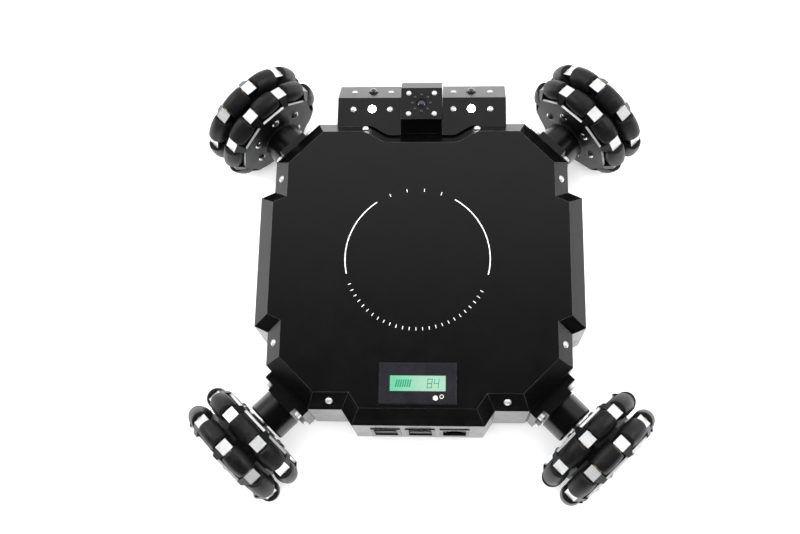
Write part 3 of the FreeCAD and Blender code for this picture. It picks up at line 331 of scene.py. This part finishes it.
def glowing(name, colour, edge_colour, strength):
    """A lit surface whose glow is a little uneven."""
    made, tree, shader = new_material(name, Roughness=0.3, Emission_Strength=strength)
    glow = ramp(tree, noise(tree, 300.0, 3.0), 0.3, 0.7, edge_colour, colour)
    tree.links.new(glow, shader.inputs["Base Color"])
    tree.links.new(glow, shader.inputs["Emission Color"])
    return made


def backlit_panel(name, lamp_side, far_side, half_width):
    """Liquid-crystal panel lit from one end: the green deepens away from the lamp."""
    made, tree, shader = new_material(name, Roughness=0.22, IOR=1.5, Emission_Strength=0.74)
    split = tree.nodes.new("ShaderNodeSeparateXYZ")
    tree.links.new(place_coordinates(tree, (0.5 / half_width, 1.0, 1.0)), split.inputs["Vector"])
    along = tree.nodes.new("ShaderNodeMath")
    along.operation = "ADD"
    along.inputs[1].default_value = 0.5
    tree.links.new(split.outputs["X"], along.inputs[0])
    glow = ramp(tree, along.outputs[0], 0.08, 0.62, far_side, lamp_side)
    mottle = ramp(tree, noise(tree, 240.0, 4.0), 0.3, 0.7, grey(0.93), grey(1.0))
    lit = blend(tree, 1.0, glow, mottle, "MULTIPLY")
    tree.links.new(lit, shader.inputs["Emission Color"])
    tree.links.new(blend(tree, 0.96, lit, grey(0.01)), shader.inputs["Base Color"])
    return made


def printed_white(name):
    """Screen-printed white ink, slightly thin in places."""
    made, tree, shader = new_material(name, IOR=1.45)
    wear = noise(tree, 700.0, 6.0, 0.65)
    tree.links.new(ramp(tree, wear, 0.3, 0.62, grey(0.5), grey(0.86)), shader.inputs["Base Color"])
    tree.links.new(ramp(tree, wear, 0.3, 0.7, 0.62, 0.42), shader.inputs["Roughness"])
    add_bump(tree, shader, noise(tree, 2400.0, 3.0), 0.15, 0.00008)
    return made


def circuit_board(name):
    """Green solder mask over darker copper tracks."""
    made, tree, shader = new_material(name, IOR=1.5)
    tracks = tree.nodes.new("ShaderNodeTexBrick")
    tracks.inputs["Scale"].default_value = 160.0
    tracks.inputs["Mortar Size"].default_value = 0.03
    tracks.inputs["Color1"].default_value = (0.01, 0.11, 0.045, 1)
    tracks.inputs["Color2"].default_value = (0.012, 0.14, 0.055, 1)
    tracks.inputs["Mortar"].default_value = (0.02, 0.22, 0.09, 1)
    tree.links.new(place_coordinates(tree), tracks.inputs["Vector"])
    tree.links.new(tracks.outputs["Color"], shader.inputs["Base Color"])
    tree.links.new(ramp(tree, noise(tree, 90.0), 0.3, 0.7, 0.25, 0.4), shader.inputs["Roughness"])
    add_bump(tree, shader, tracks.outputs["Fac"], 0.3, 0.0001)
    return made


def pale_floor(name):
    """White studio sweep with a painted glow, brightest round the object, so that shadows there nearly wash out.
    """
    made, tree, shader = new_material(name, Roughness=0.85, Specular_IOR_Level=0.2,
                                      Emission_Strength=FLOOR_GLOW)
    tone = ramp(tree, noise(tree, 2.0, 3.0), 0.3, 0.7, grey(0.86, 0.01), grey(0.90, 0.01))
    tree.links.new(tone, shader.inputs["Base Color"])
    reach = tree.nodes.new("ShaderNodeVectorMath")
    reach.operation = "LENGTH"
    tree.links.new(place_coordinates(tree), reach.inputs[0])
    # painted light: the floor glows, most strongly round the object and fading with distance
    painted_glow_pool = ramp(tree, reach.outputs["Value"], 0.45, 0.95, 1.0, 0.3)
    tree.links.new(blend(tree, 1.0, tone, painted_glow_pool, "MULTIPLY"), shader.inputs["Emission Color"])
    return made


MATERIALS = {
    "black_housing": black_satin("black_satin"),
    # edge: the rounded edges' paler finish, partly wear and partly a painted highlight
    "edge": worn_and_highlit_edge("worn_and_highlit_black_edge"),
    "steel_fasteners": brushed_metal("bright_screw_steel", SCREW_STEEL, (0.18, 0.3), (1, 1, 1), 0.1, 0.6),
    "wheel_aluminium": brushed_metal("milled_aluminium", ALUMINIUM, (0.26, 0.38), (1.0, 1.0, 14.0),
                                     0.15, 0.6),
    "wheel_black": black_satin("black_anodised_wheel", 0.003, (0.34, 0.44), 1900.0),
    "shaft_steel": brushed_metal("ground_steel", STEEL, (0.2, 0.34), (1, 1, 20)),
    "brass": brushed_metal("brass_washer", (0.78, 0.52, 0.22), (0.22, 0.4), (6, 6, 6)),
    "roller_rubber": rubber("roller_rubber", 0.0035),
    "meter_plastic": moulded_plastic("meter_plastic", (0.0065, 0.0065, 0.0085), (0.22, 0.34)),
    "switch_plastic": moulded_plastic("switch_plastic", (0.004, 0.004, 0.0045), (0.24, 0.36)),
    "white_key": moulded_plastic("white_key_plastic", (0.72, 0.72, 0.70), (0.3, 0.4)),
    "servo_case": moulded_plastic("servo_plastic", (0.03, 0.035, 0.06), (0.35, 0.5)),
    "battery_wrap": moulded_plastic("battery_wrap", (0.03, 0.06, 0.22), (0.28, 0.42), 500.0, 0.2),
    "circuit_board": circuit_board("circuit_board"),
    "gearbox_metal": brushed_metal("turned_steel", (0.50, 0.50, 0.51), (0.28, 0.42), (12, 12, 1)),
    "motor_can": brushed_metal("motor_can_steel", (0.32, 0.32, 0.33), (0.3, 0.45), (1, 1, 10)),
    "camera_glass": dark_glass("coated_lens", (0.006, 0.005, 0.014)),
    "ring_lamps": dark_glass("dark_diode", (0.012, 0.012, 0.016), 0.08),
    "lamp_lens": dark_glass("unlit_diode", (0.012, 0.012, 0.011), 0.05),
    "lit_lamp": glowing("lit_diode", (1.0, 1.0, 1.0, 1.0), (0.93, 0.96, 1.0, 1.0), 26.0),
    "lcd": backlit_panel("backlit_panel", (0.55, 0.93, 0.69, 1.0), (0.22, 0.85, 0.50, 1.0), LCD_HALF),
    "lcd_mark": moulded_plastic("panel_segments", (0.001, 0.19, 0.10), (0.3, 0.4)),
    "print": printed_white("printed_white"),
}


# ---------------------------------------------------------------- mesh tools

def new_piece(name, mesh, body, materials, replaces=()):
    """Puts a mesh in the scene, on its body, with its finish and the nodes that it stands for."""
    piece = bpy.data.objects.new(name, mesh)
    bpy.context.collection.objects.link(piece)
    for key in materials:
        mesh.materials.append(MATERIALS[key])
    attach(piece, body)
    if replaces:
        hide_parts(*replaces)
    return piece


def mesh_of(bm, name):
    """A smooth-shaded mesh whose hard edges stay sharp."""
    bmesh.ops.recalc_face_normals(bm, faces=bm.faces)
    mesh = bpy.data.meshes.new(name)
    bm.to_mesh(mesh)
    bm.free()
    for polygon in mesh.polygons:
        polygon.use_smooth = True
    mesh.set_sharp_from_angle(angle=HARD_EDGE)
    return mesh


def clean_copy(node):
    """A new mesh of a CAD node, with its split corners welded and its flat faces whole."""
    bm = bmesh.new()
    bm.from_mesh(frame["nodes"][node].data)
    bmesh.ops.remove_doubles(bm, verts=bm.verts, dist=WELD)
    bmesh.ops.dissolve_limit(bm, angle_limit=FLAT, verts=bm.verts, edges=bm.edges)
    clean = bmesh.new()
    corners = [clean.verts.new(v.co) for v in bm.verts]
    bm.verts.index_update()
    for face in bm.faces:
        clean.faces.new([corners[v.index] for v in face.verts])
    bm.free()
    return mesh_of(clean, node + "_skin")


def refined(node, width=0.35 * MM, segments=2, materials=None, edge_slot=False):
    """The CAD node's own shape with every hard edge rounded, in place of the node."""
    keys = [SLOT_OF[node]] if materials is None else list(materials)
    if edge_slot:
        keys.append("edge")
    piece = new_piece(node + "_finished", clean_copy(node), BODY_OF[node], keys, (node,))
    bevel = piece.modifiers.new("rounded_edges", "BEVEL")
    bevel.width = width
    bevel.segments = segments
    bevel.limit_method = "ANGLE"
    bevel.angle_limit = HARD_EDGE
    bevel.harden_normals = True
    bevel.miter_outer = "MITER_ARC"
    if edge_slot:
        # the rounded edges take the paler edge finish, partly wear and partly a painted highlight
        bevel.material = len(keys) - 1
    return piece


def axis_frame(point, normal):
    """Matrix at a point whose Z axis is the normal."""
    z = Vector(normal).normalized()
    side = Z_AXIS.cross(z)
    if side.length < 1e-3:
        side = Y_AXIS.cross(z)
    x = side.normalized()
    y = z.cross(x)
    matrix = Matrix((x, y, z)).transposed().to_4x4()
    matrix.translation = point
    return matrix


def lathe(bm, profile, matrix, segments=40, closed=True):
    """Turns a profile of (radius, height) about the matrix's Z axis."""
    rings = []
    for radius, height in profile:
        ring = []
        for i in range(segments):
            angle = 2 * math.pi * i / segments
            point = Vector((radius * math.cos(angle), radius * math.sin(angle), height))
            ring.append(bm.verts.new(matrix @ point))
        rings.append(ring)
    count = len(rings)
    for i in range(count if closed else count - 1):
        low, high = rings[i], rings[(i + 1) % count]
        for j in range(segments):
            k = (j + 1) % segments
            bm.faces.new((low[j], low[k], high[k], high[j]))
    return rings


def capped_lathe(bm, profile, matrix, segments=40):
    """A solid of revolution whose profile starts and ends on flat discs."""
    rings = lathe(bm, profile, matrix, segments, closed=False)
    bm.faces.new(list(reversed(rings[0])))
    bm.faces.new(rings[-1])


def slab(bm, outline, matrix, thickness):
    """A flat plate of the outline's shape, standing up from the matrix's XY plane."""
    low = [bm.verts.new(matrix @ Vector((x, y, 0))) for x, y in outline]
    high = [bm.verts.new(matrix @ Vector((x, y, thickness))) for x, y in outline]
    bm.faces.new(list(reversed(low)))
    bm.faces.new(high)
    count = len(low)
    for i in range(count):
        j = (i + 1) % count
        bm.faces.new((low[i], low[j], high[j], high[i]))


def arc_points(radius, start, end, steps):
    """Points (radius cos, radius sin) from start to end, in degrees."""
    angles = [math.radians(start + (end - start) * i / steps) for i in range(steps + 1)]
    return [(radius * math.cos(a), radius * math.sin(a)) for a in angles]


# ---------------------------------------------------------------- wheels

def roller_frames(corner, row):
    """One matrix per roller, Z along its pin and X outwards. The ground roller comes first."""
    wheel = JOINTS[corner + "_wheel_spin"]
    centre, out = Vector(wheel["pos_m"]), Vector(wheel["axis"]).normalized()
    ground = JOINTS[corner + "_roller_" + row + "_spin"]
    pin = Vector(ground["axis"]).normalized()
    first = Matrix((out, pin.cross(out), pin)).transposed().to_4x4()
    first.translation = Vector(ground["pos_m"])
    step = 2 * math.pi / ROLLERS_PER_ROW
    frames = []
    for i in range(ROLLERS_PER_ROW):
        turn = Matrix.Translation(centre) @ Matrix.Rotation(step * i, 4, out) @ Matrix.Translation(-centre)
        frames.append(turn @ first)
    return frames


def roller_profile():
    """Barrel that follows the wheel's circle, with rounded shoulders and dished ends."""
    centre = WHEEL_RADIUS - ROLLER_RADIUS
    flat = ROLLER_HALF - SHOULDER
    crown = []
    for i in range(CROWN_STEPS + 1):
        along = -flat + 2 * flat * i / CROWN_STEPS
        crown.append((math.sqrt(WHEEL_RADIUS ** 2 - along ** 2) - centre - CROWN_RELIEF, along))
    edge = crown[-1][0]
    shoulder = [(edge - SHOULDER + SHOULDER * math.cos(a), flat + SHOULDER * math.sin(a))
                for a in map(math.radians, SHOULDER_ANGLES)]
    dish_height = ROLLER_HALF - DISH_DEPTH
    dish = [(edge - DISH_EDGE, ROLLER_HALF), (edge - DISH_FLOOR, dish_height), (HUB_FOOT, dish_height),
            (HUB_RADIUS, ROLLER_HALF), (PIN_RADIUS + ROLLER_BORE_GAP, ROLLER_HALF)]
    upper = shoulder + dish
    lower = [(radius, -height) for radius, height in reversed(upper)]
    return lower + crown + upper


def add_roller(bm, matrix):
    """One rubber barrel."""
    lathe(bm, roller_profile(), matrix, 44)


def add_pin(bm, matrix):
    """The steel pin that a roller turns on, with chamfered ends."""
    tip = PIN_RADIUS - PIN_CHAMFER
    profile = [(tip, -PIN_HALF), (PIN_RADIUS, -PIN_HALF + PIN_CHAMFER),
               (PIN_RADIUS, PIN_HALF - PIN_CHAMFER), (tip, PIN_HALF)]
    capped_lathe(bm, profile, matrix, 20)


def add_washers(bm, matrix):
    """The brass washer at each end of a roller."""
    low, high = ROLLER_HALF + WASHER_NEAR, ROLLER_HALF + WASHER_FAR
    bore = PIN_RADIUS + WASHER_BORE_GAP
    eased = WASHER_RADIUS - WASHER_CHAMFER
    profile = [(bore, low), (eased, low), (WASHER_RADIUS, low + WASHER_CHAMFER),
               (WASHER_RADIUS, high - WASHER_CHAMFER), (eased, high), (bore, high)]
    for side in (-1, 1):
        lathe(bm, [(radius, side * height) for radius, height in profile], matrix, 28)


def finish_rim(corner, rim):
    """Leaves the spokes' flat ends and the side plates' thin edges as bare metal on the black rim."""
    wheel = JOINTS[corner + "_wheel_spin"]
    centre, axis = Vector(wheel["pos_m"]), Vector(wheel["axis"]).normalized()
    for face in rim.data.polygons:
        offset = face.center - centre
        radial = offset - axis * offset.dot(axis)
        faces_out = face.normal.dot(radial.normalized()) > OUTWARD
        face.material_index = 1 if faces_out and radial.length > PLATE_EDGE else 0


def build_rollers(corner):
    """Both rows of rollers. Each row's ground roller turns on its own joint."""
    wheel = corner + "_wheel"
    fixed, pins, washers = bmesh.new(), bmesh.new(), bmesh.new()
    for row in ("outer", "inner"):
        frames = roller_frames(corner, row)
        ground = bmesh.new()
        add_roller(ground, frames[0])
        node = corner + "_ground_roller_" + row
        new_piece(node + "_rubber", mesh_of(ground, node), corner + "_roller_" + row, ["roller_rubber"],
                  (node,))
        for matrix in frames[1:]:
            add_roller(fixed, matrix)
        for matrix in frames:
            add_pin(pins, matrix)
            add_washers(washers, matrix)
    new_piece(corner + "_rollers_rubber", mesh_of(fixed, corner + "_rollers"), wheel, ["roller_rubber"],
              (corner + "_rollers",))
    new_piece(corner + "_pins_steel", mesh_of(pins, corner + "_pins"), wheel, ["shaft_steel"],
              (corner + "_roller_pins",))
    new_piece(corner + "_washers_brass", mesh_of(washers, corner + "_washers"), wheel, ["brass"])


def build_wheel(corner):
    """Rollers, then the two rims, the shaft and the bolts that carry them."""
    build_rollers(corner)
    for half in ("_outer_rim", "_inner_rim"):
        rim = refined(corner + half, width=0.22 * MM, materials=("wheel_black", "wheel_aluminium"))
        finish_rim(corner, rim)
    refined(corner + "_drive_shaft", width=0.25 * MM)
    refined(corner + "_wheel_bolts", width=0.12 * MM)


# ---------------------------------------------------------------- body

def build_body():
    """The housing and what it holds, each shape rounded as far as its size allows."""
    refined("top_cover", width=0.55 * MM, segments=3, edge_slot=True)
    refined("chassis_pan", width=0.4 * MM)
    refined("base_plate", width=0.4 * MM)
    refined("body_screws", width=0.12 * MM)
    refined("motor_mounts", width=0.5 * MM, segments=3, edge_slot=True)
    refined("mount_bolts", width=0.12 * MM)
    refined("bearing_housings", width=0.35 * MM)
    for node in ("gearboxes", "motors", "battery_pack", "control_board", "driver_boards", "tilt_servo"):
        refined(node, width=0.25 * MM)


def build_ring_mark():
    """Plain printed arcs on the cover, with evenly spaced ticks in the gaps."""
    bm = bmesh.new()
    matrix = Matrix.Translation((*RING_CENTRE, COVER_TOP))
    for start, end in RING_ARCS:
        outer = arc_points(RING_RADIUS + RING_HALF_WIDTH, start, end, RING_STEPS)
        inner = arc_points(RING_RADIUS - RING_HALF_WIDTH, end, start, RING_STEPS)
        slab(bm, outer + inner, matrix, INK)
    tick = [(-TICK_HALF_LENGTH, -TICK_HALF_WIDTH), (TICK_HALF_LENGTH, -TICK_HALF_WIDTH),
            (TICK_HALF_LENGTH, TICK_HALF_WIDTH), (-TICK_HALF_LENGTH, TICK_HALF_WIDTH)]
    out_to_ring = Matrix.Translation((RING_RADIUS, 0, 0))
    for first, pitch, count in TICK_RUNS:
        for i in range(count):
            turn = Matrix.Rotation(math.radians(first + pitch * i), 4, "Z")
            slab(bm, tick, matrix @ turn @ out_to_ring, INK)
    new_piece("cover_ring_print", mesh_of(bm, "cover_ring_print"), "chassis", ["print"])


# ---------------------------------------------------------------- meter

def add_bars(bm, matrix):
    """The row of slanted bars at the panel's left."""
    lean = BAR_SLANT * 2 * BAR_HALF_HEIGHT
    for i in range(BARS):
        left = BARS_LEFT + BAR_PITCH * i
        right = left + BAR_WIDTH
        outline = [(left, -BAR_HALF_HEIGHT), (right, -BAR_HALF_HEIGHT),
                   (right + lean, BAR_HALF_HEIGHT), (left + lean, BAR_HALF_HEIGHT)]
        slab(bm, outline, matrix, MARK_RISE)


def add_digit(bm, digit, left, matrix):
    """One slanted seven-segment digit."""
    low, middle, top = DIGIT_LOW, DIGIT_LOW + DIGIT_HEIGHT / 2, DIGIT_LOW + DIGIT_HEIGHT
    right = left + DIGIT_WIDTH
    segments = ((left, top - STROKE, right, top), (right - STROKE, middle, right, top),
                (right - STROKE, low, right, middle), (left, low, right, low + STROKE),
                (left, low, left + STROKE, middle), (left, middle, left + STROKE, top),
                (left, middle - STROKE / 2, right, middle + STROKE / 2))
    for on, (x0, y0, x1, y1) in zip(SEGMENTS_ON[digit], segments):
        if on:
            x0, x1 = x0 + SEGMENT_GAP, x1 - SEGMENT_GAP
            y0, y1 = y0 + SEGMENT_GAP, y1 - SEGMENT_GAP
            corners = ((x0, y0), (x1, y0), (x1, y1), (x0, y1))
            slab(bm, [(x + DIGIT_SLANT * (y - low), y) for x, y in corners], matrix, MARK_RISE)


def build_meter():
    """Bezel, lit panel with its marks, and the white key with the small ring beside it."""
    refined("meter_bezel", width=0.35 * MM, segments=3)
    refined("meter_lcd", width=0.2 * MM)
    refined("meter_button", width=0.25 * MM, segments=3)
    low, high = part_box("meter_lcd")
    centre = (low + high) / 2
    panel = Matrix.Translation((centre.x, centre.y, high.z))
    marks = bmesh.new()
    add_bars(marks, panel)
    for digit, left in DIGITS:
        add_digit(marks, digit, left, panel)
    new_piece("meter_lcd_segments", mesh_of(marks, "meter_lcd_segments"), "chassis", ["lcd_mark"])
    ring = bmesh.new()
    face = Matrix.Translation((*KEY_RING_AT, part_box("meter_bezel")[1].z))
    profile = [(KEY_RING_INNER, 0), (KEY_RING_OUTER, 0),
               (KEY_RING_OUTER, KEY_RING_RISE), (KEY_RING_INNER, KEY_RING_RISE)]
    lathe(ring, profile, face, 32)
    new_piece("meter_ring_print", mesh_of(ring, "meter_ring_print"), "chassis", ["print"])


# ---------------------------------------------------------------- light bars and camera

def bar_lamp_places():
    """Each lamp's centre, direction and whether it is lit: the two in the bars' flat tops are."""
    slope = Vector((0, 1, 1)).normalized()
    places = []
    for x in (-BAR_LAMP_X, BAR_LAMP_X):
        places.append((Vector((x, *BAR_TOP_LAMP)), Z_AXIS, True))
        places.append((Vector((x, *BAR_SLOPE_LAMP)), slope, False))
    return places


def dome_profile(radius, rise, steps=8):
    """A dome's side, from its foot to one step below its top."""
    angles = [math.radians(90.0 * i / steps) for i in range(steps)]
    return [(radius * math.cos(a), rise * math.sin(a)) for a in angles]


def in_metres(profile):
    """A turned profile that was given in millimetres."""
    return [(radius * MM, height * MM) for radius, height in profile]


def build_lamps():
    """Four domed lamps in the light bars, each in a black rim."""
    lit, unlit, rims = bmesh.new(), bmesh.new(), bmesh.new()
    dome = dome_profile(LAMP_RADIUS, LAMP_RISE)
    profile = [(LAMP_RADIUS, -LAMP_SUNK)] + dome + [(TIP_RADIUS, LAMP_RISE)]
    for point, normal, on in bar_lamp_places():
        matrix = axis_frame(point, normal)
        capped_lathe(lit if on else unlit, profile, matrix, 36)
        lathe(rims, in_metres(LAMP_RIM), matrix, 40)
    new_piece("bar_lamps_lit", mesh_of(lit, "bar_lamps_lit"), "chassis", ["lit_lamp"],
              ("bar_lamps",))
    new_piece("bar_lamps_dark", mesh_of(unlit, "bar_lamps_dark"), "chassis", ["lamp_lens"])
    new_piece("bar_lamp_rims", mesh_of(rims, "bar_lamp_rims"), "chassis", ["switch_plastic"])


def build_lens(face):
    """The stepped barrel in the camera's face, and the domed glass inside it."""
    barrel = bmesh.new()
    capped_lathe(barrel, in_metres(LENS_STEPS), face, 48)
    new_piece("camera_lens_barrel", mesh_of(barrel, "camera_lens_barrel"), "camera", ["switch_plastic"],
              ("camera_lens",))
    glass = bmesh.new()
    dome = [(radius, height - GLASS_SUNK) for radius, height in dome_profile(GLASS_RADIUS, GLASS_RISE)]
    profile = [(GLASS_SEAT, -GLASS_RISE)] + dome + [(TIP_RADIUS, GLASS_RISE - GLASS_SUNK)]
    capped_lathe(glass, profile, face, 40)
    new_piece("camera_front_glass", mesh_of(glass, "camera_front_glass"), "camera", ["camera_glass"])


def build_lamp_ring(face):
    """The ring of small dark lamps round the lens."""
    lamps = bmesh.new()
    dome = dome_profile(BEAD_RADIUS, BEAD_RISE, BEAD_STEPS)
    profile = [(BEAD_RADIUS, -BEAD_SUNK)] + dome + [(BEAD_TIP_RADIUS, BEAD_RISE)]
    for x, y in arc_points(RING_LAMP_RADIUS, 0, 360 - 360 / RING_LAMPS, RING_LAMPS - 1):
        capped_lathe(lamps, profile, face @ Matrix.Translation((x, y, 0)), 24)
    new_piece("camera_lamp_beads", mesh_of(lamps, "camera_lamp_beads"), "camera", ["ring_lamps"],
              ("camera_lamp_ring",))


def build_camera():
    """The tilting head, with its lens and lamps."""
    refined("camera_head", width=0.6 * MM, segments=3, edge_slot=True)
    refined("camera_screws", width=0.1 * MM)
    face = Matrix.Translation((TILT_AT.x, TILT_AT.y, HEAD_TOP))
    build_lens(face)
    build_lamp_ring(face)


def build_front():
    """The two light bars and the camera between them."""
    for node in ("light_bar_left", "light_bar_right"):
        refined(node, width=0.5 * MM, segments=3, edge_slot=True)
    refined("bar_screws", width=0.1 * MM)
    build_lamps()
    build_camera()


# ---------------------------------------------------------------- rear panel

def build_rear_panel():
    """The two rockers in their frames, and the data socket."""
    refined("rocker_frames", width=0.3 * MM, segments=3)
    refined("power_rocker", width=0.4 * MM, segments=3)
    refined("light_rocker", width=0.4 * MM, segments=3)
    refined("data_socket", width=0.2 * MM)


# ---------------------------------------------------------------- set

def build_floor():
    """A level sheet that reaches past everything in view."""
    bm = bmesh.new()
    corners = ((-FLOOR_HALF, -FLOOR_HALF), (FLOOR_HALF, -FLOOR_HALF),
               (FLOOR_HALF, FLOOR_HALF), (-FLOOR_HALF, FLOOR_HALF))
    bm.faces.new([bm.verts.new((x, y, 0)) for x, y in corners])
    mesh = bpy.data.meshes.new("floor")
    bm.to_mesh(mesh)
    bm.free()
    floor = bpy.data.objects.new("floor", mesh)
    bpy.context.collection.objects.link(floor)
    mesh.materials.append(pale_floor("pale_floor"))


def softbox(name, place, size, power):
    """A rectangular lamp that faces the object."""
    light = bpy.data.lights.new(name, "AREA")
    light.shape = "RECTANGLE"
    light.size, light.size_y = size
    light.energy = power
    lamp = bpy.data.objects.new(name, light)
    bpy.context.collection.objects.link(lamp)
    lamp.location = place
    lamp.rotation_euler = (-Vector(place)).to_track_quat("-Z", "Y").to_euler()
    return lamp


def sky_ramp(tree, factor, rise, low_value, high_value):
    """Brightness that goes from low_value to high_value between the rise's two values of factor."""
    node = tree.nodes.new("ShaderNodeMapRange")
    node.inputs["From Min"].default_value, node.inputs["From Max"].default_value = rise
    node.inputs["To Min"].default_value = low_value
    node.inputs["To Max"].default_value = high_value
    node.interpolation_type = "SMOOTHSTEP"
    tree.links.new(factor, node.inputs["Value"])
    return node.outputs["Result"]


def maths(tree, operation, first, second=None):
    """One arithmetic step on one or two sockets."""
    node = tree.nodes.new("ShaderNodeMath")
    node.operation = operation
    tree.links.new(first, node.inputs[0])
    if second is not None:
        tree.links.new(second, node.inputs[1])
    return node.outputs[0]


def build_sky():
    """White walls at the sides and front, a dark ceiling, and a dark room behind."""
    world = bpy.data.worlds.new("studio")
    bpy.context.scene.world = world
    world.use_nodes = True
    tree = world.node_tree
    direction = tree.nodes.new("ShaderNodeTexCoord")
    split = tree.nodes.new("ShaderNodeSeparateXYZ")
    tree.links.new(direction.outputs["Generated"], split.inputs["Vector"])
    sideways = maths(tree, "ABSOLUTE", split.outputs["X"])
    sides = sky_ramp(tree, sideways, SIDE_RISE, CEILING, SIDE_WALLS)
    front = sky_ramp(tree, split.outputs["Y"], FRONT_RISE, CEILING, FRONT_WALL)
    rear = sky_ramp(tree, split.outputs["Y"], REAR_RISE, REAR_ROOM, 1.0)
    light = maths(tree, "MULTIPLY", maths(tree, "MAXIMUM", sides, front), rear)
    background = tree.nodes["Background"]
    tree.links.new(light, background.inputs["Color"])
    background.inputs["Strength"].default_value = 1.0


def build_lights():
    """One broad lamp overhead that only lights what is matt, and a dim one at each side."""
    overhead = softbox("overhead_softbox", OVERHEAD_AT, OVERHEAD_SIZE, OVERHEAD_WATTS)
    overhead.visible_glossy = False
    for name, place in SIDE_LAMPS:
        softbox(name, place, SIDE_LAMP_SIZE, SIDE_LAMP_WATTS)
    build_sky()


def build_camera_view():
    """Seen from behind and almost straight above, ten degrees round to the right."""
    across = math.cos(VIEW_ELEVATION)
    back = Vector((math.sin(VIEW_AZIMUTH) * across, -math.cos(VIEW_AZIMUTH) * across,
                   math.sin(VIEW_ELEVATION)))
    level = (-back).cross(Z_AXIS).normalized()
    above = level.cross(-back)
    right = level * math.cos(VIEW_ROLL) + above * math.sin(VIEW_ROLL)
    up = above * math.cos(VIEW_ROLL) - level * math.sin(VIEW_ROLL)
    data = bpy.data.cameras.new("camera")
    data.lens = VIEW_LENS
    data.sensor_width = VIEW_SENSOR
    camera = bpy.data.objects.new("camera", data)
    bpy.context.collection.objects.link(camera)
    matrix = Matrix((right, up, back)).transposed().to_4x4()
    matrix.translation = VIEW_TARGET + back * VIEW_DISTANCE
    camera.matrix_world = matrix
    bpy.context.scene.camera = camera


build_camera_view()
build_floor()
build_lights()
build_body()
build_ring_mark()
build_meter()
build_front()
build_rear_panel()
for corner_name in CORNERS:
    build_wheel(corner_name)
bpy.context.scene.view_settings.view_transform = "Standard"
bpy.context.view_layer.update()
